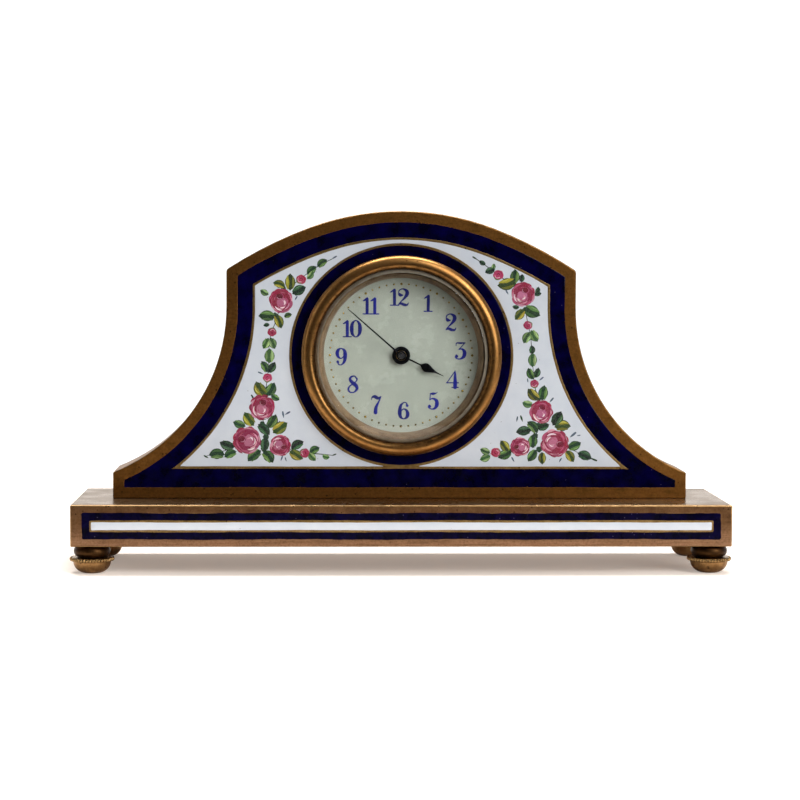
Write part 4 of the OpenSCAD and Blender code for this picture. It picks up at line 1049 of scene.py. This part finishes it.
# Strokes of each figure as points of x, height and width, in hundredths of the figure's height
FIGURES = {
    "1": (
        ((25, 8, 15), (25, 50, 16), (25, 91, 15)),
        ((3, 79, 5), (12, 84, 9), (25, 95, 9)),
        ((3, 3, 6), (47, 3, 6)),
    ),
    "2": (
        ((6, 74, 5), (10, 90, 6), (30, 98.5, 7), (50, 86, 17), (52, 68, 19), (38, 45, 12), (16, 22, 5),
         (6, 10, 5)),
        ((10, 68, 13), (16, 62, 17), (29, 62, 6)),
        ((5, 6, 5), (18, 13, 13), (36, 6, 15), (52, 5, 10), (60, 17, 4)),
    ),
    "3": (
        ((8, 80, 4), (10, 95, 6), (30, 95, 10), (56, 96, 7)),
        ((55, 95, 5), (40, 76, 5), (26, 60, 5)),
        ((24, 58, 5), (42, 60, 9), (56, 42, 19), (52, 16, 17), (32, 2, 7), (12, 6, 6), (7, 16, 8)),
        ((12, 22, 12), (14, 18, 15)),
    ),
    "4": (
        ((50, 98, 5), (5, 30, 5)),
        ((3, 29, 6), (68, 29, 6)),
        ((50, 96, 5), (50, 75, 12), (50, 30, 19), (50, 3, 19)),
        ((33, 2, 6), (67, 2, 6)),
    ),
    "5": (
        ((14, 93, 5), (30, 92, 13), (48, 96, 5), (54, 102, 3)),
        ((15, 93, 5), (12, 56, 5)),
        ((12, 56, 5), (28, 64, 8), (48, 52, 17), (51, 28, 20), (40, 7, 12), (22, 2, 6), (7, 10, 6),
         (5, 18, 8)),
        ((10, 22, 11), (12, 18, 14)),
    ),
    "6": (
        ((50, 86, 6), (44, 96, 6), (30, 97, 6), (14, 78, 14), (9, 42, 20), (14, 14, 15), (31, 2, 6),
         (48, 12, 15), (53, 32, 18), (46, 52, 12), (31, 60, 6), (17, 48, 6)),
        ((48, 84, 11), (50, 80, 14)),
    ),
    "7": (
        ((4, 78, 4), (7, 92, 8), (22, 95, 17), (40, 86, 15), (55, 96, 5)),
        ((55, 94, 5), (42, 62, 9), (30, 32, 16), (28, 3, 20)),
    ),
    "8": (
        ((52, 84, 8), (40, 97, 7), (22, 92, 10), (17, 76, 14), (32, 58, 19), (50, 42, 19), (56, 24, 15),
         (42, 4, 7), (22, 2, 7), (9, 16, 10), (14, 36, 8), (34, 52, 5), (50, 66, 6), (55, 80, 8)),
    ),
    "0": (
        ((30, 98, 6), (12, 82, 14), (7, 50, 20), (12, 18, 14), (30, 2, 6), (48, 18, 14), (53, 50, 20),
         (48, 82, 14)),
    ),
}
# From one figure to the next within a numeral, and after a one
FIGURE_W = 60
ONE_W = 42
# A nine is a six turned upside down
FIGURES["9"] = [[(FIGURE_W - x, 100 - z, width) for x, z, width in stroke] for stroke in FIGURES["6"]]
# Figures whose first stroke closes on itself
CLOSED = "08"
# Middle of each numeral from the dial's centre
NUMERAL_AT = {
    "12": (-0.36, 11.2), "1": (5.2, 10.05), "2": (9.6, 6.4), "3": (11.4, 0.9), "4": (9.95, -4.6),
    "5": (6.2, -8.8), "6": (0.55, -10.7), "7": (-4.8, -9.5), "8": (-9.3, -5.6), "9": (-11.55, -0.3),
    "10": (-9.55, 5.1), "11": (-5.85, 9.5),
}
# Height in millimetres, and how much wider and bolder than the table's figures they are
NUMERAL_H = 3.22
NUMERAL_W = 1.06
NUMERAL_BOLD = 1.2
# Share of its measured place at which each numeral stands
NUMERAL_RING = 0.976
NUMERAL_BLUE = (7, 14, 112)


def numerals():
    """Hand-painted blue hours on the dial."""
    brush = Brush(lambda x, z, y: Vector((x, DIAL_FACE + y, DIAL_Z + z)) * MM, 0.014, 0.0004)
    pick = random.Random(31)
    for label, (middle_x, middle_z) in NUMERAL_AT.items():
        start, strokes = 0, []
        for figure in label:
            for i, points in enumerate(FIGURES[figure]):
                shifted = [((start + x) / 100, z / 100, width / 100) for x, z, width in points]
                strokes.append((shifted, figure in CLOSED and i == 0))
            start += ONE_W if figure == "1" else FIGURE_W
        reach = [x for points, _ in strokes for x, _, _ in points]
        centre = (min(reach) + max(reach)) / 2
        lean = pick.uniform(-0.01, 0.03)
        for points, closed in strokes:
            shade = pick.uniform(0.85, 1.15)
            placed = [
                (
                    NUMERAL_RING * middle_x + NUMERAL_H * (NUMERAL_W * (x - centre) + lean * (z - 0.5)),
                    NUMERAL_RING * middle_z + NUMERAL_H * (z - 0.5), NUMERAL_H * NUMERAL_BOLD * width,
                )
                for x, z, width in points
            ]
            brush.stroke(placed, srgb(*(part * shade for part in NUMERAL_BLUE)), closed)
    belongs(brush.piece("dial_numerals", DIAL_BLUE), "case", "dial_enamel")


# Painted garlands

CRIMSON = (148, 28, 64)
DEEP_CRIMSON = (104, 12, 38)
ROSE_PINK = (180, 82, 114)
PALE_PINK = (214, 150, 172)
BLUSH = (246, 226, 232)
PETAL_GROUND = (136, 36, 66)
HEART_GROUND = (188, 106, 138)
BUD_GROUND = (166, 50, 86)
SEPAL_GREEN = (84, 120, 60)
DARK_GREEN = (22, 54, 32)
BLUE_GREY = (74, 92, 114)
# Light and dark paint of each kind of leaf
LEAF_TONES = {
    "green": ((92, 132, 62), (20, 56, 30)),
    "olive": ((156, 150, 44), (46, 66, 20)),
    "pale": ((138, 168, 104), (50, 88, 44)),
    "dark": ((52, 92, 54), (12, 38, 26)),
}

# Places from the dial's centre. Shades behind the leaves: x, z and radius. Leaves: x, z, angle of the tip
# and length. Buds and roses: x, z, radius and the angle towards which the flower is turned. Ticks: x, z,
# angle and length.
LEFT_GARLAND = {
    "shades": (
        (-26.6, -13.1, 0.6), (-25.9, -15.6, 0.7), (-26.3, -17.9, 0.7), (-22.6, 12.8, 0.6),
        (-24.2, 7.6, 0.7), (-25.9, -7.6, 0.6), (-20.6, -18.1, 0.5),
    ),
    "stems": (
        ((-12.95, 18.6), (-15.4, 17.4), (-17.5, 16), (-19.4, 14.6), (-21.4, 12.9)),
        ((-23, 10.6), (-23.8, 7.2), (-24.75, 4.6), (-25.3, 2.35), (-25.3, 0.1), (-25.45, -2.2),
         (-25.6, -4.2), (-25.95, -6.3), (-26.6, -8.4)),
        ((-26.6, -11.6), (-26.2, -14.4), (-26.2, -17.4)),
        ((-31.4, -17.4), (-33.8, -18.3), (-37.2, -19.3)),
        ((-21.4, -18), (-18.5, -18.8), (-16, -18.9), (-13, -19.2)),
    ),
    "green": (
        (-15.2, 17.6, 40, 1.9), (-17.2, 16.2, 50, 1.9), (-25.7, 7.4, 176, 2.7), (-21.7, 7.6, 20, 1.3),
        (-26.2, -2.2, 122, 2), (-25, -6.5, 62, 2.4), (-24.1, -8, -35, 1.6), (-31, -13.2, 165, 2.1),
        (-24.8, -12.6, 60, 2.5), (-28.1, -19.3, 215, 2.7), (-25.5, -19.5, -52, 2.4),
        (-32.7, -19, 205, 2.1), (-35.3, -19.1, 178, 2.5), (-16.6, -18.2, 30, 1.8),
    ),
    "olive": (
        (-23.4, 13.5, 160, 2), (-21.3, 14, 95, 2.7), (-23.5, 6.5, -66, 2.4), (-26.9, -6.4, 122, 2.7),
        (-29.1, -12.2, 128, 2.6), (-23.2, -13.9, 34, 2.8), (-20.1, -19.1, -28, 2.5),
    ),
    "pale": (
        (-17.5, 15.3, 230, 1.5), (-26.2, 12, 150, 1.5), (-25.95, 2.3, 246, 1.9), (-24.6, 2.3, -66, 1.9),
        (-25.3, -0.1, 88, 2.4), (-17.1, -19.5, -50, 1.7), (-14.4, -19.4, -10, 1.2),
    ),
    "dark": (
        (-19.6, 12.4, 28, 2.4), (-25.8, 5.75, 190, 1), (-24.8, -2.3, 60, 2), (-26.3, -14.2, -48, 2.5),
        (-26, -17, 84, 2.3), (-33.3, -17.1, 158, 2.5), (-19.9, -17.2, 34, 2.3),
    ),
    "buds": (
        (-19.2, 14.5, 1.05, 30), (-24.75, 4.45, 0.95, 250), (-25.6, -4.3, 0.98, 80),
        (-18.5, -18.75, 1.05, -20),
    ),
    "roses": (
        (-23, 10.4, 2.45, 112), (-26.65, -10, 2.6, 82), (-29.5, -16.3, 2.85, 170),
        (-23.2, -17.3, 2.15, -20),
    ),
    "ticks": (
        (-12.9, 18.7, 30, 0.9), (-20.2, 10.9, 60, 0.8), (-26.9, -3.4, 160, 0.9), (-28.4, -8.1, 120, 1),
        (-22.6, -11.4, 100, 1.1), (-21.8, -11.1, 30, 1), (-37.3, -19.5, 150, 0.9), (-22.9, -19.8, 70, 0.9),
        (-22.1, -20, 110, 0.7), (-12.9, -19.1, 20, 0.8), (-23.4, -13, 70, 0.7),
    ),
}
RIGHT_GARLAND = {
    "shades": (
        (26.4, -13.3, 0.6), (25.8, -15.4, 0.7), (26.6, -18, 0.7), (21.6, 13.6, 0.6), (23.7, 8.7, 0.7),
        (26.4, -8.2, 0.6), (20.9, -18.2, 0.5),
    ),
    "stems": (
        ((14, 18.7), (15.9, 17.4), (18.4, 15.5), (20.6, 14)),
        ((23.6, 9.4), (24, 7.4), (24.3, 5.95), (24.8, 3.65), (25, 1.2), (25.2, -1.2), (25.4, -3.4),
         (25.6, -5.4), (26.2, -7.8), (26.8, -9.2)),
        ((27.4, -12.8), (26.2, -14.4), (25.6, -17.6)),
        ((31.8, -17.6), (34.4, -18.7), (37.4, -19.9)),
        ((21.4, -18.2), (18.3, -18.7), (15.8, -19.1)),
    ),
    "green": (
        (21.5, 15.2, 84, 2.4), (25, 8.5, -24, 2.9), (24.9, -3.4, 118, 2), (27.3, -7.1, 80, 2.5),
        (25.3, -13.7, 128, 2.4), (25.4, -16.4, 92, 2.2), (33.4, -17.2, 26, 2.3), (25.3, -19.2, 235, 2.3),
        (20, -19, 205, 2.4),
    ),
    "olive": (
        (20.1, 13.9, 196, 3), (22.6, 8, 228, 2.2), (25.4, -7.4, 132, 2.5), (31.1, -13.6, 4, 2.6),
        (32.6, -19.3, -62, 2.2), (27.2, -19.7, -84, 2), (19.9, -17.4, 128, 2.2),
    ),
    "pale": (
        (17.5, 17.1, 80, 1), (24.15, 3.5, 238, 2.1), (25.5, 3.85, -58, 2.1), (25.2, -0.75, 88, 2.3),
        (24.3, -9.15, 168, 1.7), (16.2, -18.3, 160, 1.7), (16.2, -19.6, 200, 1.8),
    ),
    "dark": (
        (15.4, 17.8, 150, 1.2), (16.9, 16.3, 200, 1.7), (23, 14.9, 84, 1.3), (21.9, 9.4, 170, 1.1),
        (25, 1.2, 92, 1.4), (26, -3.2, 74, 1.7), (23.6, -14.5, 184, 2.5), (27.4, -13.6, 20, 2),
        (30, -12, 62, 2.6), (35.4, -19.3, -24, 2.4), (26, 12.6, 70, 1.2), (26.1, 11.9, 10, 1.2),
    ),
    "buds": (
        (18.5, 15.5, 1.1, 60), (24.25, 5.9, 0.95, 200), (25.6, -5.35, 0.92, 90), (18.25, -18.6, 1.05, 190),
    ),
    "roses": (
        (23.25, 11.8, 2.45, 66), (27, -10.8, 2.4, 84), (29.6, -16.8, 2.85, -10), (23, -17.5, 2, 185),
    ),
    "ticks": (
        (14, 18.7, 150, 0.9), (20.2, 12.2, 120, 0.9), (24.3, -4.75, 100, 0.7), (26.9, -4.4, 40, 0.9),
        (28.9, -8.5, 50, 1), (22.3, -12.2, 80, 0.9), (23.2, -12.1, 110, 1.1), (33.1, -15.2, 40, 1.3),
        (34.2, -15.3, 10, 0.6), (37.2, -19.95, -20, 1.1), (21.6, -20, 120, 0.9), (30.7, -20.1, 60, 0.8),
    ),
}


def unit(angle):
    """Direction of an angle in degrees, anticlockwise from the right."""
    return Vector((math.cos(math.radians(angle)), math.sin(math.radians(angle))))


def tinted(colour, pick, change=0.1):
    """A paint colour with a little seeded change in its strength."""
    shade = pick.uniform(1 - change, 1 + change)
    return srgb(*(max(0.0, min(255.0, part * shade + pick.uniform(-5, 5))) for part in colour))


def dab(brush, pick, x, z, radius, rough, tone, count, squash=1.0, change=0.1):
    """Round patch of paint whose radius wanders by a share."""
    turn = pick.uniform(0, 6.28)
    points = []
    for i in range(count):
        a = 2 * math.pi * i / count
        wander = math.sin(5 * a + turn) * 0.6 + math.sin(8 * a + 2 * turn) * 0.4
        reach = radius * (1 - rough + rough * wander)
        points.append((x + reach * math.cos(a), z + reach * squash * math.sin(a)))
    brush.patch(points, tinted(tone, pick, change))


def petal(brush, pick, x, z, radius, start, length, width, tone, count=4, squash=1.0, change=0.1):
    """Comma-shaped stroke along a circle: thick at its middle and thin at its ends."""
    points = []
    for i in range(count + 1):
        share = i / count
        a = math.radians(start + length * share)
        body = math.sin(math.pi * (0.12 + 0.8 * share)) ** 0.7
        points.append((x + radius * math.cos(a), z + radius * squash * math.sin(a), width * max(body, 0.15)))
    brush.stroke(points, tinted(tone, pick, change))


def rose(brush, x, z, radius, aim, pick):
    """Full rose: dark petals round a pale heart, and a deep cup turned towards an angle."""
    heart = Vector((x, z)) - unit(aim) * radius * 0.14
    cup = Vector((x, z)) + unit(aim) * radius * 0.36

    def stroke(middle, reach, start, length, width, tone, *more, **rest):
        petal(brush, pick, *middle, radius * reach, start, length, radius * width, tone, *more, **rest)

    dab(brush, pick, x, z, radius, 0.08, PETAL_GROUND, 40, change=0.05)
    turn = pick.uniform(0, 36)
    for i in range(15):
        start = aim + turn + 24 * i + pick.uniform(-8, 8)
        away = math.cos(math.radians(start + 24 - aim)) < 0.3
        tone = (ROSE_PINK, PALE_PINK, ROSE_PINK)[i % 3] if away else (CRIMSON, ROSE_PINK)[i % 2]
        stroke((x, z), pick.uniform(0.7, 0.9), start, pick.uniform(26, 48), pick.uniform(0.12, 0.22), tone)
    dab(brush, pick, *heart, radius * 0.54, 0.08, HEART_GROUND, 28, change=0.04)
    inner = (
        (0.6, BLUSH), (0.5, PALE_PINK), (0.4, BLUSH), (0.32, ROSE_PINK),
        (0.56, PALE_PINK), (0.24, BLUSH), (0.46, ROSE_PINK), (0.16, PALE_PINK),
    )
    for i, (reach, tone) in enumerate(inner):
        start = aim + 90 + 24 * i + pick.uniform(-14, 14)
        stroke(heart, reach, start, pick.uniform(40, 72), pick.uniform(0.14, 0.25), tone, change=0.04)
    for i in range(5):
        start = aim - 70 + 28 * i + pick.uniform(-8, 8)
        tone = (CRIMSON, ROSE_PINK)[i % 2]
        stroke((x, z), pick.uniform(0.5, 0.7), start, pick.uniform(30, 55), pick.uniform(0.1, 0.18), tone)
    dab(brush, pick, *cup, radius * 0.33, 0.05, DEEP_CRIMSON, 20, 0.86)
    for start, reach, tone in (
        (200, 0.3, ROSE_PINK), (20, 0.3, CRIMSON), (250, 0.17, CRIMSON), (80, 0.2, PALE_PINK),
    ):
        stroke(cup, reach, aim + start, 120, 0.085, tone, 5, 0.86)
    for i in range(11):
        start = aim + 70 + 20 * i + pick.uniform(-10, 10)
        tone = (CRIMSON, DEEP_CRIMSON)[i % 2]
        stroke(heart, pick.uniform(0.2, 0.84), start, pick.uniform(20, 46), 0.055, tone, 3)
    for i in range(4):
        stroke((x, z), 0.92, aim - 60 + 36 * i + pick.uniform(-8, 8), 26, 0.12, CRIMSON, 3)


def almond(x, z, angle, length, width, bend=0.0):
    """Leaf-shaped stroke that starts at a point and runs along an angle."""
    out = unit(angle)
    points = []
    for share, body in ((0.0, 0.1), (0.14, 0.6), (0.38, 1.0), (0.64, 0.96), (0.86, 0.56), (1.0, 0.1)):
        along, lift = length * share, bend * math.sin(math.pi * share)
        points.append((x + along * out.x - lift * out.y, z + along * out.y + lift * out.x, width * body))
    return points


def leaf(brush, x, z, angle, length, kind, pick):
    """Leaf about a middle: a dark blade with two lighter halves and, if it is large, pale touches."""
    light, dark = LEAF_TONES[kind]
    length *= 1.14
    width = length * pick.uniform(0.66, 0.78)
    angle += pick.uniform(-5, 5)
    out, across = unit(angle), unit(angle + 90)
    foot = Vector((x, z)) - out * length / 2
    bend = pick.uniform(-0.08, 0.08) * length
    side = pick.choice((-1, 1))
    half = tuple((3 * pale + 2 * deep) / 5 for pale, deep in zip(light, dark))
    pale = tuple(min(255, part + 46) for part in light)
    strokes = (
        (0.0, 0.0, 1.0, 1.0, dark), (0.05, 0.22, 0.86, 0.46, light), (0.1, -0.26, 0.74, 0.34, half),
        (0.34, 0.3, 0.42, 0.13, pale), (0.3, 0.1, 0.34, 0.09, half),
    )
    for along, off, size, share, colour in strokes if length > 1.6 else strokes[:3]:
        start = foot + out * length * along + across * side * width * off
        brush.stroke(almond(*start, angle, length * size, width * share, bend), tinted(colour, pick))


def bud(brush, x, z, radius, angle, pick):
    """Half-open bud that points along an angle, with green sepals at its foot."""
    foot = Vector((x, z)) - unit(angle) * radius * 0.95
    for turn in (-46, 46):
        brush.stroke(almond(*foot, angle + turn, radius, radius * 0.34), tinted(SEPAL_GREEN, pick))
    dab(brush, pick, x, z, radius, 0.06, BUD_GROUND, 20, 0.94)
    for reach, turn, length, width, tone, change in (
        (0.66, -60, 130, 0.36, CRIMSON, 0.1), (0.22, -40, 150, 0.34, DEEP_CRIMSON, 0.1),
        (0.6, 120, 90, 0.3, PALE_PINK, 0.1), (0.46, 196, 56, 0.2, BLUSH, 0.03),
    ):
        petal(brush, pick, x, z, radius * reach, angle + turn, length, radius * width, tone, change=change)


def tick(brush, x, z, angle, length, pick):
    """Small pointed touch of grey or dark green paint."""
    half = unit(angle) * length / 2
    tone = pick.choice((BLUE_GREY, BLUE_GREY, DARK_GREEN))
    foot, tip = (x - half.x, z - half.y, length * 0.08), (x + half.x, z + half.y, length * 0.3)
    brush.stroke([foot, (x, z, length * 0.36), tip], tinted(tone, pick), steps=3)


def garland(name, plan, seed):
    """One side's painted garland: stems, leaves, buds and roses in the order of painting."""
    pick = random.Random(seed)
    brush = Brush(lambda x, z, y: at_case(x, DIAL_H + z, y), 0.032, 0.0001)
    for x, z, radius in plan["shades"]:
        dab(brush, pick, x, z, radius, 0.14, DARK_GREEN, 16)
    for points in plan["stems"]:
        brush.stroke([(x, z, pick.uniform(0.1, 0.2)) for x, z in points], tinted(DARK_GREEN, pick))
    for entry in plan["ticks"]:
        tick(brush, *entry, pick)
    for kind in LEAF_TONES:
        for entry in plan[kind]:
            leaf(brush, *entry, kind, pick)
    for entry in plan["buds"]:
        bud(brush, *entry, pick)
    for entry in plan["roses"]:
        rose(brush, *entry, pick)
    belongs(brush.piece(name, PAINT), "case", "white_enamel")


# Hands and the end of the centre arbor


def hand(node, body, angle, level, sections, boss):
    """Hand of near-black steel: a blade with a lens-shaped section, along places and half-widths from
    the dial's centre, and a turned boss with a rounded face, from its radii, front and back."""
    a = math.radians(angle)
    out, across = Vector((math.sin(a), 0, math.cos(a))), Vector((math.cos(a), 0, -math.sin(a)))
    lens = ((-1, 0), (-0.62, -0.42), (0, -0.5), (0.62, -0.42), (1, 0), (0.62, 0.42), (0, 0.5), (-0.62, 0.42))
    middle = Vector((0, CASE_FRONT + level + HAND_T / 2, DIAL_Z))
    work = bmesh.new()
    rings = []
    for along, half in sections:
        thick = HAND_T * min(1.0, 0.45 + half * 2.2)
        rings.append([
            work.verts.new((middle + out * along + across * half * u + Vector((0, thick * v, 0))) * MM)
            for u, v in lens
        ])
    tube(work, rings, capped=True)
    bmesh.ops.recalc_face_normals(work, faces=work.faces)
    blade = new_piece("blade", mesh_from(work, "blade", 42), DARK_STEEL)
    inner, outer, front, back = boss
    rise = min(0.16, (back - front) / 3)
    profile = [
        (inner, back), (inner, front + 0.04), (inner + 0.04, front), (outer - rise * 1.4, front + 0.01),
        (outer - rise * 0.5, front + rise * 0.35), (outer, front + rise), (outer, back - 0.05),
        (outer - 0.05, back),
    ]
    boss = lathe("boss", profile, (DARK_STEEL,), 96)
    belongs(joined(node + "_finished", [blade, boss]), body, "blued_steel", node)


def hands():
    """Pear-shaped hour hand and thin minute hand."""
    hand("hour_hand", "hour", HOUR_ANGLE, HOUR_LEVEL, [
        (1.5, 0.17), (3.9, 0.13), (4.15, 0.17), (4.35, 0.36), (4.6, 0.6), (4.9, 0.77), (5.2, 0.84),
        (5.5, 0.8), (5.9, 0.66), (6.4, 0.46), (6.9, 0.28), (7.3, 0.17), (7.8, 0.11), (8.95, 0.05),
    ], (0.97, 1.7, 1.0, 1.5))
    hand("minute_hand", "minute", MINUTE_ANGLE, MINUTE_LEVEL, [
        (0.75, 0.18), (3.0, 0.16), (8.0, 0.13), (12.0, 0.1), (13.2, 0.075), (13.5, 0.035),
    ], (0.64, 0.9, 0.35, 0.8))


# Plinth, case and movement


def plinth_and_feet():
    body = dressed("plinth_body", "gilt_brass", 0.22, GILT_PLINTH, GILT_RUBBED, segments=3)
    # The plinth's upward faces take the lighter gilt with its painted light
    body.data.materials.append(GILT_TOP_PAINTED_LIGHT)
    for face in body.data.polygons:
        if face.normal.z > 0.7 and face.center.z > (PLINTH_HIGH.z - 0.3) * MM:
            face.material_index = 2
    feet = "foot_front_left foot_front_right foot_back_left foot_back_right"
    dress_all(
        ("plinth_front_plate", "gilt_brass", 0.22, 3, GILT_PLINTH, GILT_RUBBED),
        ("plinth_bottom_plate", "gilt_brass", 0.08, 2, GILT),
        (feet, "gilt_brass", 0.08, 2, GILT_FOOT),
    )
    beaded_washers()
    # The collars under the plinth take the dark gilt with its painted shade
    dressed("foot_collars", "gilt_brass", 0.05, GILT_NECK_SHADED)


def case_parts():
    dress_all(
        ("case_band", "gilt_brass", 0.1, 2, GILT, GILT_RUBBED),
        # The case's front plate takes the darker gilt with its painted shade
        ("case_front_plate", "gilt_brass", 0.12, 2, GILT_FRONT_SHADED, GILT_RUBBED),
    )
    for node, slot, finish in (
        ("border_blue_enamel", "cobalt_enamel", COBALT), ("field_white_enamel", "white_enamel", WHITE),
        ("ring_blue_enamel", "cobalt_enamel", COBALT),
    ):
        spread(dressed(node, slot, 0.03, finish), ENAMEL_SPREAD, ENAMEL_PROUD)
    dress_all(
        ("case_back_plate back_door", "gilt_brass", 0.12, 2, GILT, GILT_RUBBED),
        ("back_plate_screws", "polished_steel", 0.06, 2, STEEL),
        ("hinge_pin", "polished_steel", 0.08, 2, STEEL),
    )


def near_axis(piece, body, radius, material):
    """Gives the faces within a radius of a moving body's arbor another material."""
    joint = next(joint for joint in frame["record"]["behaviour"]["joints"] if joint["child"] == body)
    axis = Vector((joint["pos_m"][0], joint["pos_m"][2]))
    piece.data.materials.append(material)
    for face in piece.data.polygons:
        if (Vector((face.center.x, face.center.z)) - axis).length < radius * MM:
            face.material_index = 1


def movement():
    """Frames of striped and grained gilt brass, brass wheels on steel arbors, polished steelwork."""
    screws = "movement_screws ring_screws bridge_screws case_screws regulator click_spring"
    dress_all(
        ("movement_ring", "movement_brass", 0.06, 2, GRAINED),
        ("main_plate", "movement_brass", 0.04, 2, GRAINED, MOVEMENT),
        ("barrel_bridge train_bridge balance_cock pallet_cock", "movement_brass", 0.06, 2, STRIPED, MOVEMENT),
        (screws, "polished_steel", 0.03, 1, STEEL),
        ("jewels", "ruby", 0.02, 1, RUBY),
        ("hairspring", "blued_steel", 0.01, 1, BLUED),
        ("mainspring", "blued_steel", 0.02, 1, BLUED),
        ("winding_arbor ratchet_wheel click set_arbor cannon_pinion", "polished_steel", 0.02, 1, STEEL),
        ("winding_key", "movement_brass", 0.12, 3, MOVEMENT),
        ("set_knob", "movement_brass", 0.06, 2, MOVEMENT),
        ("barrel barrel_cover minute_wheel hour_wheel", "movement_brass", 0.015, 1, MOVEMENT),
    )
    # Wheels of brass whose pinion and arbor, within a radius, are steel
    for node, radius in (
        ("centre_wheel", 1.3), ("third_wheel", 0.86), ("fourth_wheel", 0.74), ("balance_wheel", 0.9),
    ):
        wheel = dressed(node, "movement_brass", 0.015, MOVEMENT, segments=1)
        near_axis(wheel, BODY_OF[node], radius, STEEL)
    dressed("escape_wheel", "polished_steel", 0.012, STEEL, segments=1)
    # The lever's stones are what lies within the escape wheel's reach
    lever = dressed("pallet_lever", "polished_steel", 0.012, STEEL, segments=1)
    near_axis(lever, "escape", 3.15, RUBY)


# Lights, floor and camera


def place_camera():
    """Camera where the photograph's was: a little left of the clock's middle and just above it."""
    yaw, pitch, roll = (math.radians(angle) for angle in CAMERA_TURN)
    forward = Vector((
        math.sin(yaw) * math.cos(pitch), math.cos(yaw) * math.cos(pitch), math.sin(pitch),
    ))
    right = Vector((math.cos(yaw), -math.sin(yaw), 0))
    up = right.cross(forward)
    across = right * math.cos(roll) + up * math.sin(roll)
    above = up * math.cos(roll) - right * math.sin(roll)
    data = bpy.data.cameras.new("camera")
    data.sensor_width = SENSOR_W
    data.lens = FOCAL_PIXELS * SENSOR_W / PICTURE_PIXELS
    data.clip_start = 0.01
    camera = bpy.data.objects.new("camera", data)
    bpy.context.scene.collection.objects.link(camera)
    turn = Matrix((across, above, -forward)).transposed().to_4x4()
    camera.matrix_world = Matrix.Translation(Vector(CAMERA_AT) * MM) @ turn
    bpy.context.scene.camera = camera


def soft_box(name, place, aim_height, width, height, power):
    """Area lamp of a size in metres that faces a point above the origin."""
    data = bpy.data.lights.new(name, "AREA")
    data.shape = "RECTANGLE"
    data.size = width
    data.size_y = height
    data.energy = power
    lamp = bpy.data.objects.new(name, data)
    bpy.context.scene.collection.objects.link(lamp)
    lamp.location = place
    lamp.rotation_euler = (Vector((0, 0, aim_height)) - Vector(place)).to_track_quat("-Z", "Y").to_euler()


def room_light():
    """World that is white to the camera, bright low behind the clock, and dim above and in front."""
    world = bpy.data.worlds.new("room")
    bpy.context.scene.world = world
    world.use_nodes = True
    nodes = Nodes(world.node_tree)
    way = nodes.node("ShaderNodeTexCoord", "Generated")
    deep, high = (nodes.node("ShaderNodeSeparateXYZ", axis, {"Vector": way}) for axis in "YZ")
    level = nodes.times(
        nodes.ramp(deep, 0.05, 0.7, *ROOM_FRONT_BACK), nodes.ramp(high, 0.15, 0.6, *ROOM_LOW_HIGH),
    )
    level = nodes.math("MAXIMUM", level, nodes.node("ShaderNodeLightPath", "Is Camera Ray"))
    background = world.node_tree.nodes["Background"]
    nodes.feed(background.inputs["Strength"], level)
    nodes.feed(background.inputs["Color"], (1, 1, 1, 1))


def studio():
    """White floor and soft boxes above and beside the clock."""
    work = bmesh.new()
    bmesh.ops.create_circle(work, cap_ends=True, radius=1.0, segments=96)
    for vertex in work.verts:
        vertex.co = Vector((vertex.co.x * FLOOR_REACH[0], FLOOR_MIDDLE + vertex.co.y * FLOOR_REACH[1], 0))
    floor = new_piece("floor", mesh_from(work, "floor"), plaster_floor())
    room_light()
    for lamp in LAMPS:
        soft_box(*lamp)


place_camera()
studio()
plinth_and_feet()
case_parts()
case_metal_lines()
plinth_metal_lines()
turned_parts()
numerals()
minute_dots()
garland("garland_left", LEFT_GARLAND, 41)
garland("garland_right", RIGHT_GARLAND, 43)
hands()
movement()

bpy.context.scene.view_settings.view_transform = "Standard"
